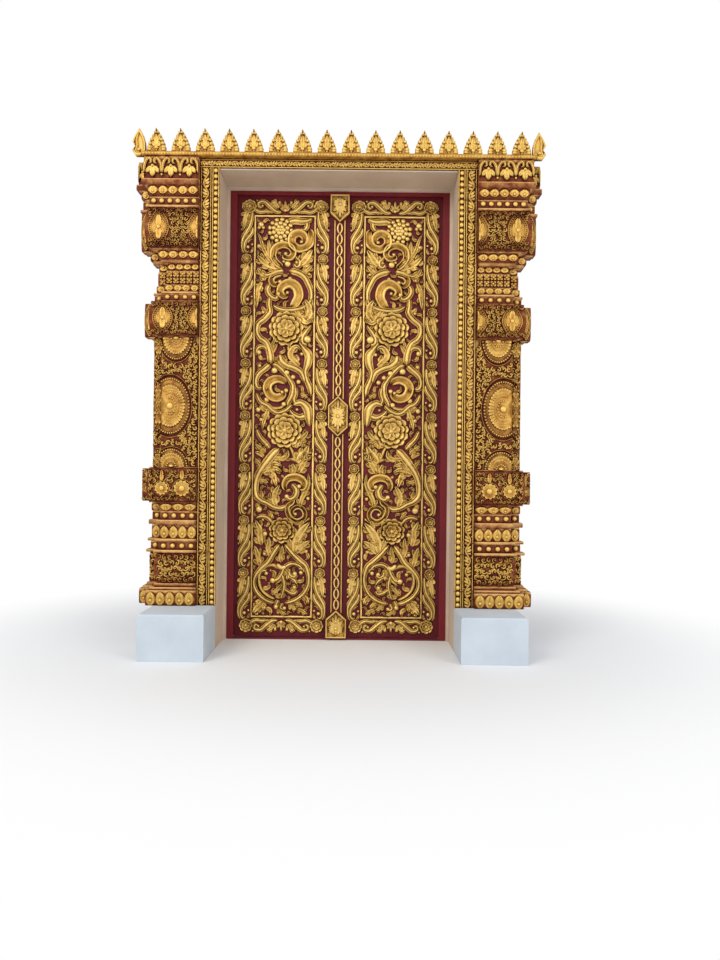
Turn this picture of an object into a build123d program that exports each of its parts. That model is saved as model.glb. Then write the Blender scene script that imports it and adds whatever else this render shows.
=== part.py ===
# Carved double door with its timber frame, plaster reveal and gilt stucco surround.
# Units are millimetres. +Z is up, +X is to the right as seen from outside, and the outside faces -Y.
# The origin is at landing level, midway between the jambs, in the plane of the closed leaves' fronts.
from build123d import *
from math import ceil, cos, hypot, pi, radians, sin
import os

# Doorway
daylight_width = 934.0        # between the jambs' stop lips
daylight_height = 2018.0      # from the landing to the head's stop lip
reveal_margin = 43.0          # timber that shows between daylight and plaster
soffit_rise = 29.0            # head's stop lip to the soffit
reveal_depth = 220.0          # from the leaves' front plane to the surround's front plane
wall_back_depth = 130.0       # from the leaves' front plane to the wall face that carries the surround
plaster = 30.0

# Timber frame
lip_depth = 20.0
lip_cover = 10.0              # how far the stop lip covers the leaf's edge
jamb_body = 50.0
jamb_depth = 40.0
head_body = 51.0
plaster_bead = 12.0           # plaster nib that covers the joint between timber and reveal
threshold_thickness = 6.0
threshold_depth = 62.0

# Leaves
leaf_thickness = 40.0
leaf_gap = 3.0                # running gap round each leaf
stop_gap = 0.4                # between the leaf's front and the stop lip
meeting_bevel = 3.0
floor_gap = 10.0

# Carving on the leaves, from the leaf's front plane
leaf_margin = 24.0            # plain leaf at each side of the carving
panel_foot = 105.0            # landing to the foot of the inner panel
panel_head = 104.0            # head of the inner panel to the leaf's top edge
fillet = 10.0
fillet_height = 9.0
band_gap = 2.0
band_width = 58.0
top_band_height = 68.0
bottom_band_height = 64.0
vine_height = 16.0
band_height = 14.0
petal_height = 21.0
heart_height = 26.0
vine_width = 15.0
curl_width = 8.0
petal_spread = 7.8            # a flower has one petal for each such part of its radius
units_per_side = 8

# Astragal
astragal_width = 50.0
astragal_height = 18.0
astragal_gap = 0.6            # between the astragal and the leaf that it laps over
link_width = 29.0
link_pitch = 50.0
link_height = 8.0
tag_projection = 24.0
tag_rim = 6.0
tag_rim_height = 5.0
astragal_edge = 5.0
astragal_edge_height = 4.0
edge_run_in = 12.0            # how far the edge fillets run up beside the tags' points
top_tag = (86.0, 82.0, 41.0)          # width, straight height, height of the point
middle_boss = (88.0, 92.0, 45.0)
bottom_tag = (92.0, 84.0, 40.0)

# Hinges and bolts
hinge_inset = 290.0           # leaf's foot and top to the middles of its two hinges
hinge_length = 120.0
hinge_plate = 34.0
plate_thickness = 3.0
knuckle_radius = 7.5
pin_radius = 4.0
pin_clearance = 0.3           # between the pin and the flats of its bore
knuckle_sides = 8
knuckle_gap = 0.3
bolt_width = 16.0
bolt_thickness = 8.0
bolt_length = 170.0
bolt_clearance = 0.3
bolt_draw_back = 6.0          # leaf's top edge to the upright bolt's tip at rest
latch_draw_back = 12.0        # middle of the doorway to the latch bolt's tip at rest
thumb_height = 16.0
thumb_length = 12.0
staple_length = 14.0
staple_wall = 3.0
staple_foot = 6.0             # staple's side beyond the bolt
guide_flange = 12.0           # guides' plate beyond the bolt
keeper_length = 30.0
keeper_clearance = 0.4
keeper_gap = 14.0             # leaf's top edge, or the middle of the doorway, to the keeper
guide_places = (-24.0, -112.0)        # bolt's tip to the foot of each staple
bolt_seat = 10.0              # leaf's back to the bolt's axis
bolt_inset = 60.0             # meeting edge to the upright bolt's axis
latch_height = 1080.0

# Surround
bead_strip = 30.0
bead_pitch = 24.5
bead_height = 7.0
strip_thickness = 6.0
vine_strip = 46.0
vine_bends = 12
strip_stem = 8.0
strip_relief = 5.0
shaft_width = 157.0
pier_step = 43.0              # the set-back pier shows this much beyond the pilaster
pier_set_back = 36.0
front_share = 0.45            # mouldings stand this share of their side projection to the front
relief = 9.0
plinth_overhang = 26.0
plinth_height = 185.0
plinth_projection = 240.0
plinth_chamfer = 6.0
cornice_overhang = 83.0
cornice_height = 18.0
cornice_projection = 38.0
cornice_nose = 6.0
lintel_rise = 6.0             # soffit to the lintel band's foot
lintel_height = 37.0
lintel_bends = 20
antefix_count = 16
antefix_width = 84.0
antefix_height = 100.0
antefix_thickness = 26.0
end_gap = 0.3
# The curled leaf at each end of the row: outwards from the cornice's end, up from its top
END_CURL = ((-14, 0), (end_gap, 0), (end_gap, -16), (29, -16), (43, 4), (31, 22), (43, 42), (33, 68),
            (13, 100), (-2, 72), (-11, 42))

# Derived places
half_daylight = daylight_width / 2
leaf_edge = half_daylight + lip_cover
rebate = leaf_edge + leaf_gap
jamb_outer = rebate + jamb_body
leaf_top = daylight_height + lip_cover - leaf_gap + 1.0
head_rebate = leaf_top + leaf_gap
head_top = head_rebate + head_body
soffit_height = daylight_height + soffit_rise
lintel_foot = soffit_height + lintel_rise
pilaster_top = lintel_foot + lintel_height
panel_centre = (leaf_edge + astragal_width / 2) / 2
panel_width = leaf_edge - astragal_width / 2 - 2 * (leaf_margin + band_width + band_gap + fillet)
panel_height = leaf_top - panel_head - panel_foot
hinge_x = leaf_edge + leaf_gap / 2
hinge_y = leaf_thickness + knuckle_radius + 0.2
reveal_x = half_daylight + reveal_margin
front_y = -reveal_depth
back_y = -wall_back_depth
strip_x = reveal_x + plaster
vine_strip_x = strip_x + 3.0
moulding_x = vine_strip_x + vine_strip + 4.0
shaft_half_width = moulding_x + shaft_width
plinth_half_width = shaft_half_width + plinth_overhang
cornice_half_width = shaft_half_width + cornice_overhang
panel_top = panel_foot + panel_height
BACK = -1.0                   # sign of the outside's direction along Y

# The surround's courses from the plinth up: height, side projection from the shaft, swelling
COURSES = (
    (65.0, 55.0, 0.0), (12.0, 40.0, 0.0), (16.0, 22.0, 0.0), (130.0, 10.0, 14.0), (12.0, 26.0, 0.0),
    (36.0, 6.0, 0.0), (12.0, 20.0, 0.0), (60.0, 2.0, 0.0), (20.0, 16.0, 0.0), (38.0, 0.0, 0.0),
    (35.0, 4.0, 0.0), (7.0, 16.0, 0.0), (140.0, 46.0, 10.0), (7.0, 16.0, 0.0), (554.0, 0.0, 0.0),
    (6.0, 20.0, 0.0), (144.0, 42.0, 10.0), (7.0, 5.0, 0.0), (29.0, 0.0, 0.0), (10.0, 5.0, 0.0),
    (31.0, -8.0, 0.0), (60.0, -14.0, 0.0), (30.0, -18.0, 0.0), (17.0, 8.0, 0.0), (35.0, 20.0, 0.0),
    (7.0, 48.0, 0.0), (168.0, 60.0, 12.0), (12.0, 66.0, 0.0), (36.0, 54.0, 0.0), (8.0, 43.0, 0.0),
    (39.0, 62.0, 0.0), (26.0, 84.0, 0.0), (96.0, 76.0, 0.0),
)
# Places in COURSES of the ones that carry ornament
ROSETTE_BASE, SHAFT, MEDALLION_LOW, ROSETTE_BAND, MEDALLION_HIGH = 12, 14, 16, 21, 26
PETAL_LOW, PETAL_HIGH, FRET = 22, 7, 32


def save(name, shape):
    """Write one piece, or a group of like solids, as one STEP file."""
    solids = Compound(list(shape)) if isinstance(shape, list) else shape
    export_step(solids, f"parts/{name}.step")


def mirrored(shape):
    """The mirror image on the other side of the doorway."""
    solids = Compound(list(shape)) if isinstance(shape, list) else shape
    return solids.mirror(Plane.YZ)


def save_pair(name, left_shape):
    """The left piece as modelled, and the right one as its mirror image."""
    save(f"left_{name}", left_shape)
    save(f"right_{name}", mirrored(left_shape))


def block(x0, x1, y0, y1, z0, z1):
    return Pos((x0 + x1) / 2, (y0 + y1) / 2, (z0 + z1) / 2) * Box(x1 - x0, y1 - y0, z1 - z0)


def outline(points):
    return make_face(Polyline(*points, close=True))


def raised(shape, base, height):
    """Extrude a front-view shape from the plane y = base towards the outside."""
    return extrude(Plane((0, base, 0), (1, 0, 0), (0, BACK, 0)) * shape, height)


def across_width(section, half_width):
    """Extrude a section, drawn as (distance to the outside, height), from +half_width to -half_width."""
    return extrude(Plane((half_width, 0, 0), (0, BACK, 0), (-1, 0, 0)) * section, 2 * half_width)


# Ornament outlines. Points are (x, z) in front view.

def spiral(centre, radius, start, turns, eye=0.3, step=45.0):
    """Points of a volute that winds in from radius to eye times radius."""
    count = ceil(abs(turns) * 360 / step)
    points = []
    for k in range(count + 1):
        reach = radius * (1 - (1 - eye) * k / count)
        turn = radians(start + 360 * turns * k / count)
        points.append((centre[0] + reach * cos(turn), centre[1] + reach * sin(turn)))
    return points


def ribbon(path, width, end_width):
    """A band along a path whose width runs from width to end_width."""
    left, right = [], []
    last = len(path) - 1
    for k, (x, z) in enumerate(path):
        x0, z0 = path[max(k - 1, 0)]
        x1, z1 = path[min(k + 1, last)]
        reach = hypot(x1 - x0, z1 - z0)
        half = (width + (end_width - width) * k / last) / 2
        side = ((z0 - z1) / reach * half, (x1 - x0) / reach * half)
        left.append((x + side[0], z + side[1]))
        right.append((x - side[0], z - side[1]))
    return outline(left + right[::-1])


def ring_of_petals(centre, radius, petals, turn=0.0, valley=0.8):
    """A flower tier: blunt petals round a centre."""
    points = []
    for k in range(petals):
        for share, reach in ((-0.5, valley), (-0.22, 1.0), (0.22, 1.0)):
            a = 2 * pi * (k + share) / petals + turn
            points.append((centre[0] + radius * reach * cos(a), centre[1] + radius * reach * sin(a)))
    return outline(points)


def rosette(centre, radius, petals, turn=0.0, valley=0.55):
    """A small flower of pointed petals."""
    points = []
    for k in range(2 * petals):
        reach = radius * (valley if k % 2 else 1.0)
        a = pi * k / petals + turn
        points.append((centre[0] + reach * cos(a), centre[1] + reach * sin(a)))
    return outline(points)


def leaf(base, tip, width, bend=0.25):
    """A pointed leaf with one notch on its outer edge, from base to tip."""
    dx, dz = tip[0] - base[0], tip[1] - base[1]
    length = hypot(dx, dz)
    along, across = (dx / length, dz / length), (-dz / length, dx / length)
    profile = ((0.0, 0.0), (0.32, 0.5), (0.5, 0.26), (1.0, 0.0), (0.4, -0.42))
    points = []
    for s, w in profile:
        sway = bend * length * s * (1 - s) + w * width
        points.append((base[0] + along[0] * s * length + across[0] * sway,
                       base[1] + along[1] * s * length + across[1] * sway))
    return outline(points)


def disc(centre, radius, sides=6):
    return Pos(*centre) * RegularPolygon(radius, sides)


# The left panel's layout. Places are (across from the panel's centre line, up from its foot), on a panel of
# LAYOUT_WIDTH by LAYOUT_HEIGHT.

LAYOUT_WIDTH, LAYOUT_HEIGHT = 264.0, 1817.0
FLOWERS = (           # centre, radius
    ((-20, 1755), 60), ((10, 1308), 78), ((7, 844), 78), ((0, 387), 60),
)
SCROLLS = (           # stem up to the volute, centre, radius, start angle, turns
    (((-2, 1582), (62, 1604)), (66, 1690), 60, -75, 1.25),
    (((-2, 1582), (-38, 1600)), (4, 1652), 56, 235, -1.25),
    (((-2, 1582), (70, 1568)), (14, 1484), 104, 48, -1.625),
    (((-60, 1210), (-58, 1144)), (-26, 1030), 106, 118, 1.625),
    (((-43, 731), (0, 640)), (72, 612), 54, 190, 1.2),
    (((22, 545), (20, 520)), (60, 462), 56, 130, 1.25),
)
STEMS = (             # path, width, end width
    (((25, 1790), (80, 1800), (126, 1806)), 16, 5),
    (((-2, 1582), (-60, 1562), (-114, 1560)), 14, 8),
    (((-67, 1392), (-117, 1347), (-121, 1300), (-80, 1247), (-60, 1210)), 13, 15),
    (((90, 1240), (122, 1178), (101, 1114), (124, 1010), (118, 950)), 13, 10),
    (((-126, 849), (-103, 799), (-43, 731), (-106, 635), (-126, 589), (-82, 525), (-23, 488), (32, 511)),
     13, 9),
    (((72, 560), (60, 530), (22, 545)), 12, 12),
    (((-122, 447), (-80, 440), (-45, 418)), 12, 8),
    (((1, 332), (-30, 290), (-67, 238), (-112, 180), (-118, 130), (-80, 78), (-10, 60)), 14, 12),
    (((1, 332), (40, 290), (74, 252), (116, 190), (120, 130), (84, 78), (10, 60)), 14, 12),
    (((-60, 215), (-20, 182), (4, 120), (-40, 105), (-66, 130)), 11, 7),
    (((64, 215), (24, 182), (4, 120), (48, 105), (72, 130)), 11, 7),
)
LEAVES = (            # base, tip, width, bend
    ((-10, 1600), (-122, 1744), 34, 0.3), ((-60, 1590), (-126, 1634), 26, -0.3),
    ((-112, 1440), (-112, 1530), 26, 0.2), ((84, 1440), (122, 1330), 30, 0.3),
    ((-20, 1192), (72, 1128), 30, 0.4), ((20, 1180), (96, 1215), 26, -0.3),
    ((-100, 1000), (-122, 890), 26, -0.3), ((57, 958), (126, 872), 40, 0.3),
    ((66, 767), (124, 836), 32, 0.3), ((100, 756), (84, 640), 32, -0.2),
    ((-88, 690), (4, 668), 28, 0.3), ((-10, 600), (-24, 500), 30, 0.2),
    ((118, 580), (98, 490), 26, -0.3), ((-120, 415), (-95, 324), 26, -0.3),
    ((120, 430), (64, 290), 30, -0.2), ((-11, 322), (-2, 226), 24, 0.2),
    ((-76, 40), (-128, 96), 30, 0.2), ((-4, 60), (10, 6), 40, 0.1),
    ((48, 22), (124, 84), 34, -0.3),
)
BERRIES = (           # centre, radius
    ((-114, 1684), 11), ((112, 1253), 14), ((20, 1104), 10), ((96, 1752), 12), ((2, 262), 9),
)


def panel_place(point):
    """A place in the layout as (x, z) on the left leaf."""
    return (point[0] * panel_width / LAYOUT_WIDTH - panel_centre,
            point[1] * panel_height / LAYOUT_HEIGHT + panel_foot)


def scroll_carving():
    """The inner panel's scrolling vine, leaves and four flowers, as one carved sheet."""
    shapes = []
    for stem, centre, radius, start, turns in SCROLLS:
        path = list(stem) + spiral(centre, radius, start, turns)
        shapes.append(ribbon([panel_place(p) for p in path], vine_width, curl_width))
    for path, width, end_width in STEMS:
        shapes.append(ribbon([panel_place(p) for p in path], width, end_width))
    for base, tip, width, bend in LEAVES:
        shapes.append(leaf(panel_place(base), panel_place(tip), width, bend))
    for centre, radius in BERRIES:
        shapes.append(disc(panel_place(centre), radius, 5))
    for centre, radius in FLOWERS:
        shapes.append(ring_of_petals(panel_place(centre), radius, round(radius / petal_spread)))
    field = Pos(-panel_centre, panel_foot + panel_height / 2) * Rectangle(panel_width - 1, panel_height - 1)
    carving = raised((Sketch() + shapes) & field, 0, vine_height)
    tiers = []
    for centre, radius in FLOWERS:
        middle = rosette(panel_place(centre), radius * 0.66, round(radius / petal_spread) - 2, 0.2, 0.75)
        heart = disc(panel_place(centre), radius * 0.34, 5)
        tiers.append(raised(middle, -vine_height, petal_height - vine_height))
        tiers.append(raised(heart, -petal_height, heart_height - petal_height))
    return carving + tiers


def side_unit(outer, top, pitch, inward):
    """One repeat of a side band: rosette, leaf, and a stem that crosses and curls back as a C-scroll."""
    def at(across, down):
        return (outer + inward * across * band_width, top - down * pitch)

    return [
        disc(at(0.5, 0.0), 0.32 * band_width, 4),
        outline([at(0.78, 0.08), at(0.04, 0.2), at(0.08, 0.48)]),
        ribbon([at(0.8, 0.16), at(0.16, 0.6), at(0.84, 0.7), at(0.34, 0.86)], 12, 8),
    ]


def border_carving(outer):
    """The band of foliage round the inner panel of the left leaf."""
    left = outer
    right = outer + 2 * (band_width + band_gap + fillet) + panel_width
    top = panel_top + fillet + band_gap
    foot = panel_foot - fillet - band_gap
    pitch = (top - foot + top_band_height / 2 + bottom_band_height / 2) / units_per_side
    shapes = []
    for k in range(units_per_side):
        start = top + top_band_height / 2 - k * pitch
        shapes += side_unit(left, start, pitch, 1)
        shapes += side_unit(right, start, pitch, -1)
    middle = (left + right) / 2
    shapes.append(disc((left + band_width / 2, foot - bottom_band_height / 2), 0.4 * band_width))
    shapes.append(disc((right - band_width / 2, foot - bottom_band_height / 2), 0.4 * band_width))
    for height, reach in ((top + top_band_height / 2, top_band_height),
                          (foot - bottom_band_height / 2, bottom_band_height)):
        shapes.append(rosette((middle, height), 0.36 * reach, 5, pi / 2, 0.6))
        for side in (-1, 1):
            wave = [(middle + side * u * panel_width / 2, height + w * reach)
                    for u, w in ((0.1, -0.3), (0.36, 0.22), (0.62, -0.2), (0.88, 0.16))]
            shapes.append(ribbon(wave, 11, 7))
            shapes.append(outline([(middle + side * u * panel_width / 2, height + w * reach)
                                   for u, w in ((0.4, 0.1), (0.66, 0.44), (0.6, -0.02))]))
    return raised(Sketch() + shapes, 0, band_height)


def fillet_frame():
    """The plain raised moulding between the inner panel and the band."""
    outer_size = (panel_width + 2 * fillet, panel_height + 2 * fillet)
    middle = Pos(-panel_centre, panel_foot + panel_height / 2)
    return raised(middle * (Rectangle(*outer_size) - Rectangle(panel_width, panel_height)), 0, fillet_height)


def leaf_board():
    """One plank leaf, rebated behind the stop lip, with a bevelled meeting edge."""
    board = block(-leaf_edge, -leaf_gap / 2, 0, leaf_thickness, floor_gap, leaf_top)
    bevel = Polyline((-leaf_gap / 2 - meeting_bevel, 0), (1, 0), (1, leaf_thickness),
                     (-leaf_gap / 2, leaf_thickness), close=True)
    return board - Pos(0, 0, floor_gap) * extrude(make_face(bevel), leaf_top)


# Astragal

def tag_outline(size, foot, points_up, points_down):
    """A tag as wide as size[0] with a pointed or square top and bottom, standing on foot."""
    width, straight, point = size
    half = width / 2
    low = foot + (point if points_down else 0)
    high = low + straight
    points = [(-half, low), (-half, high)]
    points += [(0, high + point)] if points_up else []
    points += [(half, high), (half, low)]
    points += [(0, foot)] if points_down else []
    return points


def tag(size, foot, points_up, points_down):
    """A carved tag: dished field inside a raised rim, with a palmette of six leaves round a boss."""
    width, straight, point = size
    middle = (0, foot + straight / 2 + (point if points_down else 0))
    shape = outline(tag_outline(size, foot, points_up, points_down))
    inner = offset(shape, amount=-tag_rim, kind=Kind.INTERSECTION)
    field_y = -astragal_height - tag_projection + tag_rim_height
    body = raised(shape, -astragal_height, tag_projection - tag_rim_height)
    rim = raised(shape - inner, field_y, tag_rim_height)
    spread, rise = width * 0.3, straight * 0.36
    leaves = [leaf(middle, (across * spread, middle[1] + up * rise), width * 0.18, 0.1)
              for across, up in ((-1, 0.6), (1, 0.6), (-1, -0.6), (1, -0.6), (0, 1.0), (0, -1.0))]
    palmette = raised(Sketch() + leaves + disc(middle, width * 0.12), field_y, tag_rim_height - 1)
    return body + rim + palmette


def chain_outline(low, high):
    """One run of eye-shaped links from low to high, as a single outline, and the openings in them."""
    count = round((high - low) / link_pitch)
    pitch = (high - low) / count
    wide, neck = link_width / 2, link_width / 10
    right, eyes = [], []
    for k in range(count):
        z = low + k * pitch
        right += [(neck, z), (wide, z + pitch / 2)]
        eyes.append(outline([(0, z + 0.2 * pitch), (-wide / 2, z + pitch / 2),
                             (0, z + 0.8 * pitch), (wide / 2, z + pitch / 2)]))
    right.append((neck, high))
    return outline(right + [(-x, z) for x, z in right[::-1]]) - eyes


def astragal_parts():
    """The strip over the meeting line, with its chain, edge fillets, two tags and middle boss."""
    foot = floor_gap + 1.0
    top = daylight_height - 2.0
    top_foot = top - top_tag[1] - top_tag[2]
    bottom_top = foot + bottom_tag[1] + bottom_tag[2]
    boss_height = middle_boss[1] + 2 * middle_boss[2]
    boss_foot = (top + foot) / 2 - boss_height / 2
    half = astragal_width / 2
    front = -astragal_height
    strip = block(-half, half, front, -astragal_gap, foot, top)
    strip += block(-half, -leaf_gap / 2 - meeting_bevel, -astragal_gap, 0, foot, top)
    chains, edges = [], []
    for low, high in ((bottom_top, boss_foot), (boss_foot + boss_height, top_foot)):
        chains.append(raised(chain_outline(low, high), front, link_height))
        for x in (-half, half - astragal_edge):
            edges.append(block(x, x + astragal_edge, front - astragal_edge_height, front,
                               low - edge_run_in, high + edge_run_in))
    return {
        "astragal_strip": strip,
        "astragal_chain": chains,
        "astragal_edge_fillets": edges,
        "astragal_top_tag": tag(top_tag, top_foot, False, True),
        "astragal_middle_boss": tag(middle_boss, boss_foot, True, True),
        "astragal_bottom_tag": tag(bottom_tag, foot, True, False),
    }


# Timber frame and plaster

def jamb():
    body = block(-jamb_outer, -rebate, 0, jamb_depth, 0, head_rebate)
    lip = block(-jamb_outer, -half_daylight, -lip_depth, 0, 0, daylight_height)
    leaf_stop = block(-rebate, -half_daylight, -stop_gap, 0, 0, daylight_height)
    return body + lip - leaf_stop


def head():
    body = block(-jamb_outer, jamb_outer, 0, jamb_depth, head_rebate, head_top)
    lip = block(-jamb_outer, jamb_outer, -lip_depth, 0, daylight_height, head_top)
    leaf_stop = block(-rebate, rebate, -stop_gap, 0, daylight_height, head_rebate)
    return body + lip - leaf_stop


def threshold():
    back = threshold_depth - lip_depth
    return block(-half_daylight, half_daylight, -lip_depth, back, 0, threshold_thickness)


def reveal():
    """Plaster lining at one side, with the nib that hides the joint with the timber."""
    lining = block(-strip_x, -reveal_x, front_y, -lip_depth, 0, soffit_height)
    nib = block(-reveal_x, -reveal_x + plaster_bead, -lip_depth - plaster_bead, -lip_depth, 0,
                soffit_height - plaster_bead)
    return lining + nib


def soffit():
    slab = block(-strip_x, strip_x, front_y, -lip_depth, soffit_height, pilaster_top)
    nib = block(-reveal_x, reveal_x, -lip_depth - plaster_bead, -lip_depth, soffit_height - plaster_bead,
                soffit_height)
    return slab + nib


# Hinges and bolts

def knuckle(radius, z0, z1):
    """An upright many-sided barrel on the left hinge axis."""
    return Pos(-hinge_x, hinge_y, z0) * extrude(RegularPolygon(radius, knuckle_sides), z1 - z0)


def hinge_parts():
    """The lift-off hinges on the inside of the left leaf: jamb plates with their pins, and leaf plates."""
    root = knuckle_radius + knuckle_gap
    bore = (pin_radius + pin_clearance) / cos(pi / knuckle_sides)
    back = leaf_thickness + plate_thickness
    jamb_plates, leaf_plates = [], []
    for z in (floor_gap + hinge_inset, leaf_top - hinge_inset):
        foot, top = z - hinge_length / 2, z + hinge_length / 2
        for plates, side, low, high in ((jamb_plates, -1, foot, z), (leaf_plates, 1, z + knuckle_gap, top)):
            far = -hinge_x + side * hinge_plate
            wing = block(*sorted((-hinge_x, far)), leaf_thickness, back, low, high)
            flap = block(*sorted((-hinge_x + side * root, far)), leaf_thickness, back, foot, top)
            plates.append(knuckle(knuckle_radius, low, high) + wing + flap)
        jamb_plates[-1] += Pos(-hinge_x, hinge_y, (z + top) / 2) * Cylinder(pin_radius, top - z)
        leaf_plates[-1] -= knuckle(bore, z, top + 1)
    return jamb_plates, leaf_plates


def bolt_set():
    """A flat-bar bolt along +Z with its tip at z = 0 and its thumb piece, and the staples on their plate."""
    half, bore = bolt_width / 2, bolt_width / 2 + bolt_clearance
    front, back = -bolt_thickness / 2, bolt_thickness / 2
    bar = block(-half, half, front, back, -bolt_length, 0)
    thumb = block(-half, half, back, back + thumb_height, -(bolt_length + thumb_length) / 2,
                  -(bolt_length - thumb_length) / 2)
    plate = block(-half - guide_flange, half + guide_flange, -bolt_seat, -bolt_seat + plate_thickness,
                  staple_length / 2 - bolt_length, guide_places[0] + staple_length)
    staples = [block(-half - staple_foot, half + staple_foot, -bolt_seat + plate_thickness,
                     back + bolt_clearance + staple_wall, z, z + staple_length) for z in guide_places]
    slot = block(-bore, bore, front - bolt_clearance, back + bolt_clearance, -2 * bolt_length, bolt_length)
    return bar + thumb, plate + staples - slot


def keeper():
    """A staple on a seat, along +Z, that takes the end of a bolt."""
    half, back = bolt_width / 2 + keeper_clearance, bolt_thickness / 2 + keeper_clearance
    body = block(-half - staple_foot, half + staple_foot, -bolt_seat, back + staple_wall, 0, keeper_length)
    return body - block(-half, half, -back, back, -keeper_length, 2 * keeper_length)


# Surround

def course_heights():
    """Each course as (foot, top, side projection, swelling), scaled to reach from plinth to cornice."""
    total = sum(height for height, projection, swell in COURSES)
    share = (pilaster_top - plinth_height) / total
    rows, z = [], plinth_height
    for height, projection, swell in COURSES:
        rows.append((z, z + height * share, projection, swell))
        z += height * share
    return rows


def silhouette(share, base, inner, step=0.0):
    """The pilaster's stepped edge: base plus share of each projection, closed at inner."""
    points = []
    for foot, top, projection, swell in course_heights():
        reach = base + share * (projection + step)
        points.append((reach, foot))
        if swell and not step:
            points += [(reach + share * swell * sin(pi * t), foot + (top - foot) * t) for t in (0.3, 0.7)]
        points.append((reach, top))
    return [(inner, plinth_height)] + points + [(inner, pilaster_top)]


def pilaster():
    """The left pilaster: mitred mouldings on a shaft, with a set-back pier behind and the strips' bed."""
    back_of_front = front_y + pier_set_back
    side = [(-x, z) for x, z in silhouette(1.0, shaft_half_width, moulding_x)]
    depth = silhouette(front_share, -front_y, -back_of_front)
    reach = shaft_half_width + 2 * reveal_depth
    mouldings = raised(outline(side), 0, 2 * reveal_depth) & across_width(outline(depth), reach)
    pier_line = [(-x, z) for x, z in silhouette(1.0, shaft_half_width, moulding_x, pier_step)]
    pier = raised(outline(pier_line), back_y, back_y - back_of_front)
    bed = block(-moulding_x, -strip_x, front_y, back_y, plinth_height, pilaster_top)
    return mouldings + pier + bed


def bead_moulding():
    """A strip of pearls up one side of the doorway, each cut as a four-sided point."""
    base, peak = strip_thickness - front_y, strip_thickness + bead_height - front_y
    foot, top = plinth_height, lintel_foot
    count = round((top - foot) / bead_pitch)
    pitch = (top - foot) / count
    ridge = outline([(-strip_x, front_y), (-strip_x, -base), (-(reveal_x + strip_x) / 2, -peak),
                     (-reveal_x, -base), (-reveal_x, front_y)])
    teeth = [(-front_y, foot), (base, foot)]
    for k in range(count):
        teeth += [(peak, foot + (k + 0.5) * pitch), (base, foot + (k + 1) * pitch)]
    teeth.append((-front_y, top))
    return Pos(0, 0, foot) * extrude(ridge, top - foot) & across_width(outline(teeth), strip_x)


def vine_moulding():
    """The narrow carved strip beside the pearls: a running wave with a leaf in each bend."""
    x0, x1 = -vine_strip_x - vine_strip, -vine_strip_x
    foot, top = plinth_height, lintel_foot
    strip = block(x0, x1, front_y - strip_thickness, front_y, foot, top)
    middle, sway, end = (x0 + x1) / 2, 0.3 * vine_strip, 4.0
    pitch = (top - foot) / vine_bends
    wave, leaves = [(middle, foot + end)], []
    for k in range(vine_bends):
        turn = -1 if k % 2 else 1
        z = foot + (k + 0.5) * pitch
        wave.append((middle - turn * sway, z))
        leaves.append(outline([(middle + turn * 0.02 * vine_strip, z - 0.1 * pitch),
                               (middle + turn * 0.02 * vine_strip, z + 0.24 * pitch),
                               (middle + turn * 0.44 * vine_strip, z + 0.04 * pitch)]))
    wave.append((middle, top - end))
    shapes = Sketch() + ribbon(wave, strip_stem, strip_stem) + leaves
    return strip + raised(shapes, front_y - strip_thickness, strip_relief)


def course_face(index):
    """Foot, top and front plane of one course, counted from the plinth."""
    foot, top, projection, swell = course_heights()[index]
    return foot, top, front_y - front_share * projection


def on_course(index, shapes, thickness=relief):
    """Relief standing on a course's face, from inside its swelling."""
    return raised(Sketch() + shapes, course_face(index)[2], thickness + front_share * COURSES[index][2])


def pilaster_relief():
    """The gilt ornament on the left pilaster's face: rosettes, medallions, petals and the top arcade."""
    middle = -(moulding_x + shaft_half_width) / 2
    width = shaft_half_width - moulding_x
    pieces = []
    for index, offsets in ((ROSETTE_BASE, (-0.42, 0.02, 0.46)), (ROSETTE_BAND, (-0.3, 0.3))):
        foot, top, face = course_face(index)
        radius = min(0.42 * (top - foot), 0.2 * width + 14)
        stars = [rosette((middle - u * width, (foot + top) / 2), radius, 5, pi / 2, 0.6) for u in offsets]
        pieces.append(on_course(index, stars))
    for index in (MEDALLION_LOW, MEDALLION_HIGH):
        foot, top, face = course_face(index)
        centre = (middle - 12, (foot + top) / 2)
        pieces.append(on_course(index, [rosette(centre, 0.42 * (top - foot), 8, 0.0, 0.8)]))
    foot, top, face = course_face(SHAFT)
    centre = (middle - 6, foot + 0.46 * (top - foot))
    pieces.append(on_course(SHAFT, [rosette(centre, 0.6 * width, 10, 0.0, 0.82)]))
    pieces.append(raised(disc(centre, 0.3 * width), front_y - relief, 8))
    for z, side in ((foot, 1), (top, -1)):
        fan = [(middle - u * width, z + side * w * width) for u, w in
               ((-0.4, 0.02), (-0.3, 0.34), (0.0, 0.5), (0.3, 0.34), (0.4, 0.02))]
        pieces.append(on_course(SHAFT, [outline(fan)]))
    for index, teeth, drop in ((PETAL_HIGH, 5, 1), (PETAL_LOW, 5, -1), (FRET, 4, -1)):
        foot, top, face = course_face(index)
        left = -(shaft_half_width + COURSES[index][1]) + 4
        pitch = (-moulding_x - 4 - left) / teeth
        base, tip = (foot + 2, top - 2) if drop > 0 else (top - 2, foot + 2)
        for k in range(teeth):
            x = left + k * pitch
            petal = [(x + 2, base), (x + pitch / 2, tip), (x + pitch - 2, base)]
            pieces.append(on_course(index, [outline(petal)], 6))
    beside = block(1 - moulding_x, 0, 2 * front_y, 0, 0, pilaster_top)
    return Part() + pieces - pilaster() - beside


def plinth():
    """The plain rendered block under a pilaster, which reaches forward of it."""
    foot = block(-plinth_half_width, -reveal_x, front_y - plinth_projection, front_y, 0, plinth_height)
    body = foot + block(-plinth_half_width, -strip_x, front_y, back_y, 0, plinth_height)
    rim = body.faces().sort_by(Axis.Z)[-1].outer_wire().edges()
    return chamfer(rim.filter_by(lambda edge: edge.center().Y < front_y - 1), plinth_chamfer)


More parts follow.
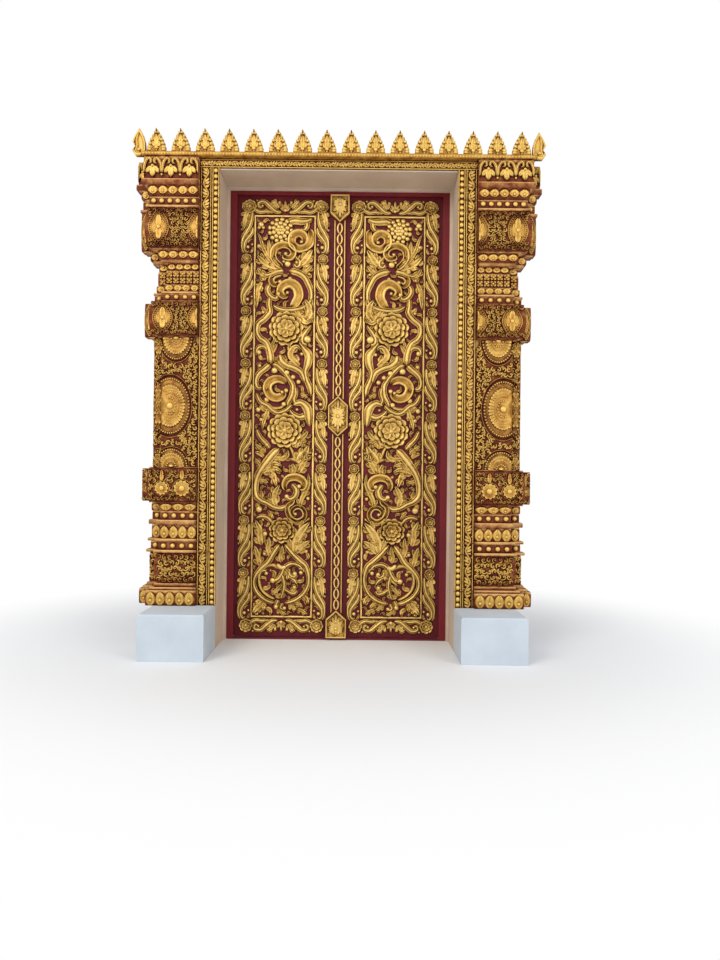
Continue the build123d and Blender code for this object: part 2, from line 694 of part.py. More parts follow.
def lintel_band():
    """The narrow carved band over the doorway, between the pilasters."""
    ends = moulding_x - 1
    band = block(-ends, ends, front_y - strip_thickness, front_y, lintel_foot, pilaster_top)
    middle, sway = (lintel_foot + pilaster_top) / 2, 0.26 * (pilaster_top - lintel_foot)
    inner = ends - strip_relief
    pitch = 2 * inner / lintel_bends
    wave = [(-inner + (k + 0.5) * pitch, middle + (sway if k % 2 else -sway)) for k in range(lintel_bends)]
    return band + raised(ribbon(wave, strip_stem, strip_stem), front_y - strip_thickness, strip_relief)


def cornice():
    """The cornice strip on top of the pilasters and the lintel, with an undercut front edge."""
    foot, top = pilaster_top, pilaster_top + cornice_height
    front = cornice_projection - front_y
    section = outline([(front, foot), (front + cornice_nose, foot + 5), (front + cornice_nose, top),
                       (-back_y, top), (-back_y, foot)])
    return across_width(section, cornice_half_width)


def antefixes():
    """The row of flame-shaped leaves that stand on the cornice, and the curls that lap round its ends."""
    foot = pilaster_top + cornice_height
    back = front_y - cornice_projection + antefix_thickness
    half = antefix_width / 2
    edge = ((0.55, 0.0), (1.0, 0.2), (0.72, 0.5), (0.5, 0.6), (0.0, 1.0))
    right = [(u * half, v * antefix_height) for u, v in edge]
    flame = raised(outline(right + [(-x, z) for x, z in right[-2::-1]]), back, antefix_thickness)
    pitch = (2 * cornice_half_width - 1.4 * antefix_width) / (antefix_count - 1)
    first = -(antefix_count - 1) * pitch / 2
    row = [Pos(first + k * pitch, 0, foot) * flame for k in range(antefix_count)]
    curl = [(-cornice_half_width - u, foot + w) for u, w in END_CURL]
    left_curl = raised(outline(curl), back, antefix_thickness)
    return row + [left_curl, mirrored(left_curl)]


# Writing the pieces

def place_hardware():
    """The bolts on the insides of the leaves, at rest drawn back, with their guides and keepers."""
    axis_y = leaf_thickness + bolt_seat
    bar, guides = bolt_set()
    upright = Pos(-bolt_inset, axis_y, leaf_top - bolt_draw_back)
    save("top_bolt", upright * bar)
    save("top_bolt_guides", upright * guides)
    save("top_bolt_keeper", Pos(-bolt_inset, axis_y, leaf_top + keeper_gap) * keeper())
    level = Pos(latch_draw_back, axis_y, latch_height) * Rot(0, -90, 0)
    save("latch_bolt", level * bar)
    save("latch_bolt_guides", level * guides)
    save("latch_bolt_keeper", Pos(-keeper_gap, axis_y, latch_height) * Rot(0, -90, 0) * keeper())


def write_parts():
    os.makedirs("parts", exist_ok=True)
    band_outer = -panel_centre - panel_width / 2 - fillet - band_gap - band_width
    save_pair("leaf_board", leaf_board())
    save_pair("scroll_carving", scroll_carving())
    save_pair("border_carving", border_carving(band_outer))
    save_pair("panel_fillets", fillet_frame())
    for name, shape in astragal_parts().items():
        save(name, shape)
    save_pair("jamb", jamb())
    save("head_rail", head())
    save("threshold", threshold())
    save_pair("reveal", reveal())
    save("soffit", soffit())
    save_pair("plinth", plinth())
    save_pair("pilaster", pilaster())
    save_pair("pilaster_relief", pilaster_relief())
    save_pair("bead_strip", bead_moulding())
    save_pair("vine_strip", vine_moulding())
    save("lintel_band", lintel_band())
    save("cornice", cornice())
    save("antefixes", antefixes())
    for name, shape in zip(("jamb_hinge_plates", "leaf_hinge_plates"), hinge_parts()):
        save_pair(name, shape)
    place_hardware()


write_parts()
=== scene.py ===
"""Dresses the carved door: gilt carving, lacquer, plaster and stucco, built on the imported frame."""
from contextlib import contextmanager
from math import ceil, cos, hypot, pi, radians, sin, sqrt

import bpy
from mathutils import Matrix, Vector, kdtree
from mathutils.noise import noise


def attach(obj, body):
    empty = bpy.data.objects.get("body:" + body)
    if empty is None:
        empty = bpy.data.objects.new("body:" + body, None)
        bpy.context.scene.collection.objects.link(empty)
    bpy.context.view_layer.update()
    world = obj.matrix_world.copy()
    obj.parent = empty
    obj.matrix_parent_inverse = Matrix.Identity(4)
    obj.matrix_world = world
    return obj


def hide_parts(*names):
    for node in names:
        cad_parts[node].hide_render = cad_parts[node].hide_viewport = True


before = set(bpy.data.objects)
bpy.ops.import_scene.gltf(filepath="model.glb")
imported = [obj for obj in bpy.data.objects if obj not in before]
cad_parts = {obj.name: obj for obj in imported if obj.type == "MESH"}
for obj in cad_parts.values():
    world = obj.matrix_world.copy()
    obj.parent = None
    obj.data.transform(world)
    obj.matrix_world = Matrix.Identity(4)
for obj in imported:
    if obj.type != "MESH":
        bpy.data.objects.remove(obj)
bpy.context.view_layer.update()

bl_info = {
    "name": "Carved door dressing",
    "version": (1, 0, 0),
    "blender": (4, 5, 0),
    "location": "3D View > Sidebar > Carved door",
    "description": "Builds the carving, gilding, lacquer and stucco of a carved double door",
    "category": "Object",
}

MM = 0.001


# Small helpers

def mix(a, b, t):
    """The value at share t of the way from a to b."""
    return a + (b - a) * t


def ease(t):
    """A share from 0 to 1 that starts and ends softly."""
    t = min(max(t, 0.0), 1.0)
    return t * t * (3 - 2 * t)


def along(values, t):
    """The value at share t of a list of evenly spaced ones, or the plain value if it is a single one."""
    if not hasattr(values, "__len__"):
        return values
    place = min(max(t, 0.0), 1.0) * (len(values) - 1)
    k = min(int(place), len(values) - 2)
    return mix(values[k], values[k + 1], ease(place - k))


def placer(x, z, wide, tall, side=1):
    """A helper that turns shares of a width, to that side, and of a height into a place counted from (x, z)."""
    def at(across, up):
        """The place of a share of the width and a share of the height."""
        return (x + side * across * wide, z + up * tall)

    return at


def smooth_line(points, spacing):
    """Evenly spaced points on a rounded line through the given ones."""
    if len(points) == 2:
        (x0, z0), (x1, z1) = points
        count = max(2, round(hypot(x1 - x0, z1 - z0) / spacing))
        return [(mix(x0, x1, k / count), mix(z0, z1, k / count)) for k in range(count + 1)]
    ends = [points[0]] + list(points) + [points[-1]]
    dense = []
    for a, b, c, d in zip(ends, ends[1:], ends[2:], ends[3:]):
        parts = max(4, ceil(hypot(c[0] - b[0], c[1] - b[1]) / spacing * 2))
        for k in range(parts):
            t = k / parts
            dense.append([0.5 * (2 * q + (r - p) * t + (2 * p - 5 * q + 4 * r - s) * t * t
                                 + (3 * q - p - 3 * r + s) * t ** 3) for p, q, r, s in zip(a, b, c, d)])
    dense.append(points[-1])
    reach = [0.0]
    for a, b in zip(dense, dense[1:]):
        reach.append(reach[-1] + hypot(b[0] - a[0], b[1] - a[1]))
    count = max(3, round(reach[-1] / spacing))
    line, k = [], 0
    for step in range(count + 1):
        target = reach[-1] * step / count
        while k < len(reach) - 2 and reach[k + 1] < target:
            k += 1
        t = (target - reach[k]) / max(reach[k + 1] - reach[k], 1e-9)
        line.append((mix(dense[k][0], dense[k + 1][0], t), mix(dense[k][1], dense[k + 1][1], t)))
    return line


def volute(centre, radius, start, turns, eye, step):
    """Points that wind in from radius to eye times radius, starting at an angle in degrees."""
    count = max(4, ceil(abs(turns) * 360 / step))
    points = []
    for k in range(count + 1):
        t = k / count
        reach = radius * mix(1.0, eye, t ** 0.9)
        turn = radians(start + 360 * turns * t)
        points.append((centre[0] + reach * cos(turn), centre[1] + reach * sin(turn)))
    return points


def normals(line):
    """A unit side direction at each point of a line."""
    last = len(line) - 1
    result = []
    for k in range(last + 1):
        (x0, z0), (x1, z1) = line[max(k - 1, 0)], line[min(k + 1, last)]
        reach = hypot(x1 - x0, z1 - z0) or 1.0
        result.append((-(z1 - z0) / reach, (x1 - x0) / reach))
    return result


# Sections across a strand, from one edge to the other: share of half the width, share of the height
REED = ((-1.0, 0.0), (-0.95, 0.55), (-0.74, 0.84), (-0.5, 0.46), (-0.26, 0.92), (0.0, 1.0),
        (0.26, 0.92), (0.5, 0.46), (0.74, 0.84), (0.95, 0.55), (1.0, 0.0))
SCROLL = ((-1.0, 0.0), (-0.98, 0.62), (-0.86, 0.98), (-0.66, 0.76), (-0.42, 0.32), (-0.1, 0.26),
          (0.22, 0.4), (0.46, 0.86), (0.68, 1.0), (0.88, 0.86), (0.98, 0.45), (1.0, 0.0))
ROUND = ((-1.0, 0.0), (-0.92, 0.45), (-0.62, 0.83), (0.0, 1.0), (0.62, 0.83), (0.92, 0.45), (1.0, 0.0))
RIDGE = ((-1.0, 0.0), (-0.9, 0.5), (-0.35, 0.8), (0.0, 1.0), (0.35, 0.8), (0.9, 0.5), (1.0, 0.0))
LEAF = ((-1.0, 0.0), (-0.97, 0.42), (-0.74, 0.82), (-0.42, 0.94), (-0.14, 0.66), (0.0, 0.78),
        (0.14, 0.66), (0.42, 0.94), (0.74, 0.82), (0.97, 0.42), (1.0, 0.0))
LEAF_LEAN = 0.35    # how far a leaf's lobes reach ahead of its rib
PETAL_CUP = 0.42    # how deep a petal is hollowed


class Carving:
    """Carved forms gathered into one mesh. Sizes are millimetres: x across, z up and h out from the ground."""

    def __init__(self, ground, limits=None, crest=16.0):
        """On a ground that far out, kept inside limits (x0, x1, z0, z1), with crest as its full height."""
        self.ground, self.limits, self.crest = ground, limits, crest
        self.points, self.faces, self.lift = [], [], []
        self.bulge = (0.0, 1.0, 0.0)

    @contextmanager
    def toned(self, crest):
        """Forms made inside get their painted highlight and shade as if crest were the full height: more makes them
        darker, less paler.
        """
        kept, self.crest = self.crest, crest
        yield
        self.crest = kept

    def place(self, x, z, h):
        """Add one point, on the swelling of the course if it has one."""
        low, high, swell = self.bulge
        if swell:
            h += swell * sin(pi * min(max((z - low) / (high - low), 0.0), 1.0))
        self.points.append((x, -self.ground - h, z))
        # The share of the full height, which the gilt finishes turn into painted shade low down and a painted highlight
        # on the crests.
        self.lift.append(min(max((h - swell) / self.crest, 0.0), 1.0))

    def cap(self, outline):
        """One flat face with the given corners."""
        first = len(self.points)
        for x, z, h in outline:
            self.place(x, z, h)
        self.faces.append(tuple(range(first, first + len(outline))))

    def grid(self, rows, closed=False):
        """Quads between rows of equally many points (x, z, h)."""
        first, wide = len(self.points), len(rows[0])
        for row in rows:
            for x, z, h in row:
                if self.limits:
                    x = min(max(x, self.limits[0]), self.limits[1])
                    z = min(max(z, self.limits[2]), self.limits[3])
                self.place(x, z, h)
        for r in range(len(rows) - 1):
            for c in range(wide if closed else wide - 1):
                a, b = first + r * wide + c, first + r * wide + (c + 1) % wide
                self.faces.append((a, b, b + wide, a + wide))

    def strand(self, path, width, height, section, base=0.0, spacing=4.0, taper=(0.0, 0.0)):
        """A carved stem along a path. Width and height may be lists of values along it."""
        line = smooth_line(path, spacing)
        sides = normals(line)
        last = len(line) - 1
        rows = []
        for k, ((x, z), (nx, nz)) in enumerate(zip(line, sides)):
            t = k / last
            half = along(width, t) / 2
            tall = along(height, t)
            if taper[0] and t < taper[0]:
                half *= ease(t / taper[0])
                tall *= 0.4 + 0.6 * ease(t / taper[0])
            if taper[1] and t > 1 - taper[1]:
                half *= sqrt(max((1 - t) / taper[1], 0.0))
                tall *= 0.4 + 0.6 * ease((1 - t) / taper[1])
            rows.append([(x + nx * half * u, z + nz * half * u, base + tall * v) for u, v in section])
        self.grid(rows)

    def dome(self, centre, radius, height, base=0.0, rings=4, around=10, oval=1.0):
        """A rounded boss. Oval stretches it up."""
        rows = []
        for r in range(rings + 1):
            angle = pi / 2 * r / rings
            flat, tall = cos(angle), sin(angle)
            rows.append([(centre[0] + radius * flat * cos(2 * pi * k / around),
                          centre[1] + oval * radius * flat * sin(2 * pi * k / around),
                          base + height * tall) for k in range(around)])
        rows.insert(0, [(x, z, 0.0) for x, z, _ in rows[0]])
        self.grid(rows, closed=True)

    def leaf(self, path, width, height, lobes, tip=1.25, spacing=4.0, base=0.0, notch=0.42):
        """An acanthus leaf along a path, with lobed edges that lean to its tip, veins and a raised end."""
        line = smooth_line(path, spacing)
        side = normals(line)
        last = len(line) - 1
        rows = []
        for k in range(last + 1):
            t = k / last
            body = max(sin(pi * min(0.12 + 0.88 * t ** 0.8, 1.0)), 0.0) ** 0.7
            wave = (lobes * t) % 1.0
            lobe = 1 - notch * (1 - sin(pi * wave ** 0.75) ** 0.5) * (1 - t) ** 0.2
            nx, nz = side[k]
            tall = height * mix(0.8, tip, ease((t - 0.45) / 0.45)) * (1 if t < 0.97 else 0.75)
            row = []
            for u, v in LEAF:
                reach = width / 2 * body * u
                reach *= mix(1.0, lobe, ease((abs(u) - 0.4) / 0.5))
                ahead = LEAF_LEAN * abs(reach) * (1 - 0.6 * t)
                x = line[k][0] + nx * reach + nz * ahead
                z = line[k][1] + nz * reach - nx * ahead
                rib = 1 + 0.16 * abs(u) * cos(2 * pi * (wave + 0.1)) if 0.3 < abs(u) < 0.9 else 1.0
                row.append((x, z, base + tall * v * rib))
            rows.append(row)
        self.grid(rows)

    def acanthus(self, path, width, height, lobes, base=0.0):
        """A leaf whose edges part into lobes that curl outwards and forwards from its rib."""
        line = smooth_line(path, 3.0)
        side = normals(line)
        reach = hypot(line[-1][0] - line[0][0], line[-1][1] - line[0][1])
        for k in range(lobes):
            t = (k + 0.35) / (lobes + 0.4)
            spot = int(t * (len(line) - 1))
            (x, z), (nx, nz) = line[spot], side[spot]
            out = width * 0.5 * (1 - 0.35 * t)
            ahead = min(reach / (lobes + 0.4), width * 0.6)
            for hand in (-1, 1):
                bend = (x + hand * nx * out * 0.62 + nz * ahead * 0.35,
                        z + hand * nz * out * 0.62 - nx * ahead * 0.35)
                end = (x + hand * nx * out + nz * ahead, z + hand * nz * out - nx * ahead)
                self.leaf([(x, z), bend, end], min(out * 1.25, ahead * 1.5), height * (0.84 + 0.12 * t), 1,
                          base=base, notch=0.15)
        self.leaf(path, width * 0.72, height, 1, base=base, notch=0.1)

    def petal(self, centre, angle, inner, outer, width, low, high):
        """One cupped petal that points outward at an angle in radians."""
        ax, az = cos(angle), sin(angle)
        rows = []
        for s in (0.0, 0.25, 0.5, 0.7, 0.84, 0.93, 0.98, 1.0):
            half = width / 2 * mix(0.5, 1.0, ease(s / 0.6)) * sqrt(max(1 - (max(s - 0.55, 0) / 0.46) ** 2, 0))
            reach = mix(inner, outer, s)
            row = []
            for u in (-1.0, -0.94, -0.55, 0.0, 0.55, 0.94, 1.0):
                tall = mix(low, high, ease(s / 0.9)) * (1 - PETAL_CUP * (1 - u * u) * sin(pi * s))
                if abs(u) == 1.0 or s == 1.0:
                    tall = low * 0.25
                elif s > 0.95:
                    tall *= 0.86
                bow = 1 - 0.04 * u * u * s
                row.append((centre[0] + ax * reach * bow - az * half * u,
                            centre[1] + az * reach * bow + ax * half * u, tall))
            rows.append(row)
        self.grid(rows)

    def flower(self, centre, tiers, heart, turn):
        """Tiers of petals (count, inner, outer, width, low, high) round a beaded heart (radius, height)."""
        for order, (count, inner, outer, width, low, high) in enumerate(tiers):
            for k in range(count):
                self.petal(centre, 2 * pi * (k + 0.5 * order) / count + turn, inner, outer, width, low, high)
        self.dome(centre, heart[0], heart[1] * 0.25, heart[1] * 0.75, around=12)

    def mesh(self, name, mirror=False):
        """The gathered forms as an object in metres, as built or mirrored to the other side."""
        sign = -1 if mirror else 1
        data = bpy.data.meshes.new(name)
        data.from_pydata([(sign * x * MM, y * MM, z * MM) for x, y, z in self.points], [],
                         [face[::-1] for face in self.faces] if mirror else self.faces)
        data.polygons.foreach_set("use_smooth", [True] * len(data.polygons))
        # The gilt finishes read this share of the height as painted shade and highlight.
        lift = data.attributes.new("lift", "FLOAT", "POINT")
        lift.data.foreach_set("value", self.lift)
        data.validate()
        obj = bpy.data.objects.new(name, data)
        bpy.context.scene.collection.objects.link(obj)
        return obj


def dress(obj, material, body, slot, *nodes):
    """Give a new piece its finish, its body and the frame nodes that it stands for."""
    obj.data.materials.append(material)
    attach(obj, body)
    if nodes:
        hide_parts(*nodes)


# Finishes

MIX_FIRST, MIX_SECOND, MIX_RESULT = 6, 7, 2     # the sockets of a mix node that carry colours
COAT_DEPTH, COAT_MATTNESS = 0.0004, 0.18         # depth of a coat's fine bump, roughness of a clear coat


def adder(tree):
    """The helper that adds nodes to a tree."""
    def add(kind, inputs=None, **settings):
        """A new node with its settings. An input is either another node's output or a plain value."""
        node = tree.nodes.new(kind)
        for key, value in settings.items():
            setattr(node, key, value)
        for key, value in (inputs or {}).items():
            if isinstance(value, bpy.types.NodeSocket):
                tree.links.new(value, node.inputs[key])
            else:
                node.inputs[key].default_value = value
        return node

    return add


def nodes_of(name):
    """A new material with its shader, node tree and the helper that adds nodes to it."""
    material = bpy.data.materials.new(name)
    material.use_nodes = True
    tree = material.node_tree
    return material, tree, tree.nodes["Principled BSDF"], adder(tree)


def rgba(colour):
    """The colour with full opacity, as sockets want it."""
    return (*colour[:3], 1.0)


def ramp(add, factor, stops):
    """A colour that follows a factor through stops of (place, colour)."""
    node = add("ShaderNodeValToRGB", {"Fac": factor})
    elements = node.color_ramp.elements
    elements[0].position, elements[0].color = stops[0][0], rgba(stops[0][1])
    elements[1].position, elements[1].color = stops[-1][0], rgba(stops[-1][1])
    for place, colour in stops[1:-1]:
        elements.new(place).color = rgba(colour)
    return node.outputs["Color"]


def gold_finish(name, colours, metallic, roughness, least, hollows, sheen):
    """Gilding over carving: a painted highlight on the crests, painted shade in the recesses, worn and dusty in
    patches.

    Colours are those of the crests (painted highlight), the middle, the recesses (painted shade) and the ground. Least
    is the share of the painted highlight that flat ground keeps, and hollows says how strongly painted occlusion shade
    darkens hollows.
    """
    crest, middle, recess, ground = colours
    material, tree, shader, add = nodes_of(name)
    place = add("ShaderNodeTexCoord").outputs["Object"]
    lift = add("ShaderNodeAttribute", attribute_name="lift").outputs["Fac"]
    cloud = add("ShaderNodeTexNoise", {"Vector": place, "Scale": 34.0, "Detail": 4.0, "Roughness": 0.6})
    fine = add("ShaderNodeTexNoise", {"Vector": place, "Scale": 420.0, "Detail": 3.0, "Roughness": 0.65})
    # Ambient occlusion darkens the narrow recesses of the gilding: painted shade.
    painted_ao_shade = add("ShaderNodeAmbientOcclusion", {"Distance": 0.013}, samples=6)
    painted_hollow_shade = add("ShaderNodeMath", {0: painted_ao_shade.outputs["AO"], 1: hollows}, operation="POWER")
    raised = add("ShaderNodeMath", {0: lift, 1: 1.0 - least, 2: least}, operation="MULTIPLY_ADD")
    level = add("ShaderNodeMath", {0: painted_hollow_shade.outputs[0], 1: raised.outputs[0]}, operation="MULTIPLY")
    patch = add("ShaderNodeMapRange", {"Value": cloud.outputs["Fac"], "From Min": 0.3, "From Max": 0.7,
                                       "To Min": -0.13, "To Max": 0.13})
    level = add("ShaderNodeMath", {0: level.outputs[0], 1: patch.outputs["Result"]}, operation="ADD")
    # Low levels give the ground, then the painted shade of the recesses, the gold, and a painted highlight on the
    # crests.
    colour = ramp(add, level.outputs[0], ((0.1, ground), (0.3, recess), (0.5, middle), (0.84, crest)))
    tint = speckled(add, colour, fine.outputs["Fac"])
    tree.links.new(tint, shader.inputs["Base Color"])
    bump = add("ShaderNodeBump", {"Height": fine.outputs["Fac"], "Strength": 0.25, "Distance": 0.0007})
    tree.links.new(bump.outputs["Normal"], shader.inputs["Normal"])
    rough = add("ShaderNodeMapRange", {"Value": cloud.outputs["Fac"], "To Min": roughness - 0.08,
                                       "To Max": roughness + 0.14})
    tree.links.new(rough.outputs["Result"], shader.inputs["Roughness"])
    shader.inputs["Metallic"].default_value = metallic
    shader.inputs["Specular IOR Level"].default_value = sheen
    return material


def speckled(add, colour, noise_value):
    """The colour made a little darker and lighter by a noise."""
    spread = add("ShaderNodeMapRange", {"Value": noise_value, "From Min": 0.25, "From Max": 0.75, "To Min": 0.82,
                                        "To Max": 1.16}).outputs["Result"]
    grey = add("ShaderNodeCombineColor", {"Red": spread, "Green": spread, "Blue": spread})
    return add("ShaderNodeMix", {"Factor": 1.0, MIX_FIRST: colour, MIX_SECOND: grey.outputs["Color"]},
               data_type="RGBA", blend_type="MULTIPLY").outputs[MIX_RESULT]


def coat_finish(name, colour, shade, roughness, grain, scale, bump, coat, sheen):
    """Lacquer, plaster or paint: one colour with clouds of a second, a grain direction and a fine bump."""
    material, tree, shader, add = nodes_of(name)
    place = add("ShaderNodeTexCoord").outputs["Object"]
    stretched = add("ShaderNodeMapping", {"Vector": place, "Scale": grain}).outputs["Vector"]
    cloud = add("ShaderNodeTexNoise", {"Vector": stretched, "Scale": scale, "Detail": 6.0, "Roughness": 0.6})
    fine = add("ShaderNodeTexNoise", {"Vector": stretched, "Scale": scale * 14, "Detail": 4.0, "Roughness": 0.7})
    tree.links.new(ramp(add, cloud.outputs["Fac"], ((0.3, shade), (0.68, colour))), shader.inputs["Base Color"])
    rough = add("ShaderNodeMapRange", {"Value": fine.outputs["Fac"], "To Min": roughness - 0.07,
                                       "To Max": roughness + 0.1})
    tree.links.new(rough.outputs["Result"], shader.inputs["Roughness"])
    height = add("ShaderNodeBump", {"Height": fine.outputs["Fac"], "Strength": bump, "Distance": COAT_DEPTH})
    tree.links.new(height.outputs["Normal"], shader.inputs["Normal"])
    shader.inputs["Specular IOR Level"].default_value = sheen
    if coat:
        shader.inputs["Coat Weight"].default_value = coat
        shader.inputs["Coat Roughness"].default_value = COAT_MATTNESS
    return material


# The left leaf's inner panel. Places are millimetres across from its centre line, towards the meeting edge,
# and up from its foot.

PANEL_X, PANEL_FOOT, PANEL_WIDTH, PANEL_HEIGHT = -250.0, 105.0, 264.0, 1817.0

# Strands: path, width (start to end), height (start to end), section
PANEL_STRANDS = (
    # upper part: hook, two volutes and the crossing
    (((14, 1790), (40, 1800), (75, 1797), (102, 1800), (124, 1811)), (20, 21, 18, 10), (17, 19, 15), REED),
    (((100, 1796), (99, 1775), (90, 1760), (76, 1757)), (14, 13, 9), 15, REED),
    (((103, 1772), (119, 1745), (119, 1706), (98, 1680), (62, 1672), (33, 1694), (34, 1728), (60, 1744),
      (86, 1732), (90, 1708), (76, 1696)), (8, 21, 21, 22, 23, 21, 14), (13, 18, 21, 19), SCROLL),
    (((-2, 1578), (-36, 1606), (-54, 1636), (-46, 1672), (-12, 1690), (26, 1680), (40, 1652), (24, 1630),
      (-2, 1634), (2, 1650)), (16, 17, 19, 18, 16, 13), (16, 18, 20, 17), SCROLL),
    (((10, 1574), (54, 1566), (88, 1547), (108, 1514), (122, 1476), (119, 1436), (92, 1408), (54, 1396),
      (11, 1392), (-28, 1400), (-60, 1420)), (20, 19, 17, 15, 15, 16, 14, 8), (17, 18, 16, 14), REED),
    (((18, 1402), (46, 1420), (64, 1456), (54, 1496), (24, 1514), (-8, 1500), (-19, 1474), (-2, 1456), (16, 1466)),
     (10, 26, 27, 27, 24, 20, 14), (14, 20, 22, 19), SCROLL),
    (((-60, 1520), (-78, 1486), (-64, 1456), (-38, 1446), (-29, 1464)), (9, 15, 15, 12), (13, 17, 15), REED),
    (((-10, 1560), (-46, 1550), (-60, 1526), (-44, 1508), (-22, 1518)), (14, 16, 16, 12), (16, 19, 16), SCROLL),
    (((-4, 1574), (-40, 1566), (-72, 1552), (-96, 1552)), (18, 16, 12), 16, REED),
    (((40, 1608), (52, 1590), (68, 1598), (68, 1618), (54, 1630), (46, 1646)), (8, 13, 12, 6), 15, REED),
    (((-66, 1470), (-70, 1420), (-66, 1385), (-88, 1354), (-118, 1328), (-123, 1292), (-108, 1264), (-82, 1244),
      (-68, 1212), (-61, 1180), (-60, 1144)), (10, 14, 18, 17, 15, 17, 20, 20), (14, 17, 16, 18), REED),
    # second flower to third flower
    (((-116, 1252), (-88, 1238), (-76, 1212)), (6, 9, 8), 13, RIDGE),
    (((-74, 1206), (-90, 1225), (-114, 1222), (-124, 1202), (-114, 1190)), (10, 13, 13, 12), 15, REED),
    (((60, 1256), (88, 1222), (112, 1188), (110, 1148), (99, 1113), (106, 1075), (122, 1036), (126, 998)),
     (8, 14, 24, 22, 14, 15, 17, 10), (15, 17, 15), REED),
    (((126, 1330), (98, 1294), (83, 1264), (89, 1240), (108, 1240)), (6, 12, 17, 15, 14), (13, 17, 17), REED),
    (((-18, 1198), (-12, 1164), (14, 1142), (46, 1131), (78, 1112), (92, 1084), (96, 1060)),
     (12, 22, 20, 18, 17, 10), (14, 18, 16), REED),
    (((-60, 1148), (-84, 1126), (-116, 1098), (-127, 1062), (-116, 1038), (-92, 1040)), (18, 17, 15, 14, 10),
     (17, 16, 14), REED),
    (((-58, 1146), (-30, 1140), (2, 1110), (36, 1062), (42, 1040), (38, 1004), (22, 972), (16, 950)),
     (16, 14, 12, 15, 16, 12), (16, 15, 16, 14), REED),
    (((12, 1050), (-2, 1070), (-30, 1078), (-62, 1064), (-73, 1036), (-58, 1004), (-28, 993), (-2, 1006),
      (-6, 1022)), (12, 20, 24, 25, 24, 22, 16), (15, 20, 22, 19), SCROLL),
    (((52, 1046), (56, 1012), (48, 984), (60, 962)), (8, 12, 12, 8), 14, REED),
    (((-127, 1022), (-106, 976), (-72, 956), (-46, 932), (-20, 924), (14, 938), (42, 966)),
     (8, 12, 14, 13, 12, 9), (13, 16, 14), REED),
    (((-86, 976), (-62, 950), (-28, 944), (-4, 952), (0, 966)), (6, 9, 10, 9), 12, RIDGE),
    (((40, 958), (78, 972), (108, 946), (116, 904), (120, 862)), (10, 17, 25, 22, 8), (14, 19, 16), REED),
    (((104, 914), (76, 905), (46, 918), (28, 940)), (20, 17, 13, 6), 16, REED),
    # third flower to fourth flower
    (((-122, 852), (-104, 812), (-76, 782), (-58, 760)), (6, 12, 14, 10), 14, REED),
    (((-8, 772), (-42, 738), (-74, 698), (-100, 662), (-117, 626), (-125, 584), (-119, 546), (-96, 524),
      (-68, 512), (-36, 494), (0, 490), (26, 512)), (16, 22, 24, 20, 18, 19, 20, 15, 14, 13, 10),
     (16, 19, 17, 18, 14), REED),
    (((28, 778), (48, 736), (62, 712)), (8, 9, 8), 12, RIDGE),
    (((30, 716), (64, 706), (82, 674)), (7, 10, 7), 13, RIDGE),
    (((-8, 642), (16, 624), (30, 630)), (6, 8, 8), 12, RIDGE),
    (((18, 566), (8, 596), (26, 626), (66, 632), (97, 612), (94, 585), (74, 586)), (7, 16, 20, 21, 19, 14),
     (13, 19, 20, 17), SCROLL),
    (((40, 604), (62, 576), (58, 546), (36, 532), (20, 544)), (8, 15, 17, 14, 12), 16, REED),
    (((54, 548), (44, 516), (26, 500), (24, 476), (38, 446), (70, 432), (98, 446), (102, 472), (84, 494),
      (58, 492), (44, 474), (54, 458), (70, 464)), (9, 12, 12, 12, 13, 12, 11, 10, 8), (14, 17, 18, 15), SCROLL),
    (((26, 452), (60, 420), (96, 424), (126, 448)), (6, 9, 9, 6), 13, RIDGE),
    (((-122, 442), (-96, 452), (-66, 446), (-42, 420)), (7, 12, 13, 8), 14, REED),
    # the foot: stems that part, the oval wreath and what hangs in it
    (((-4, 334), (-38, 284), (-62, 244), (-96, 212), (-122, 174), (-124, 132), (-100, 92), (-62, 66), (-24, 56)),
     (13, 15, 16, 14, 12, 12, 12, 10), (16, 17, 16, 14), REED),
    (((6, 334), (52, 280), (84, 250), (110, 226), (124, 176), (118, 132), (96, 96), (56, 68), (10, 56)),
     (13, 14, 15, 14, 12, 12, 12, 10), (16, 17, 16, 14), REED),
    (((-8, 208), (-34, 228), (-66, 228), (-94, 204), (-104, 164), (-94, 122), (-64, 90), (-26, 74)),
     (10, 10, 9, 9, 9, 8, 7), 13, RIDGE),
    (((4, 212), (40, 236), (78, 230), (98, 206)), (12, 12, 10, 8), 15, REED),
    (((-20, 238), (-10, 222), (8, 218), (20, 228)), (8, 12, 12, 8), 18, ROUND),
    (((12, 224), (0, 190), (-18, 166), (-38, 160)), (9, 13, 13, 12), 16, REED),
    (((-96, 196), (-82, 206), (-68, 200)), (8, 11, 9), 13, REED),
    (((-30, 140), (-8, 158), (4, 176)), (6, 10, 8), 12, RIDGE),
    (((34, 208), (38, 186), (56, 178), (70, 190)), (8, 10, 11, 10), 15, REED),
    (((76, 214), (96, 214), (104, 196)), (8, 10, 7), 13, REED),
    (((30, 178), (56, 164), (72, 142)), (8, 13, 5), 14, REED),
    (((2, 190), (12, 150), (8, 110), (-4, 76)), (12, 12, 10, 8), 15, REED),
    (((4, 130), (34, 108), (60, 102), (72, 118)), (7, 9, 10, 8), 13, REED),
    (((-12, 72), (-22, 54), (-22, 38)), (10, 12, 12), 14, REED),
    (((6, 58), (-4, 36), (12, 28)), (8, 10, 10), 13, REED),
)

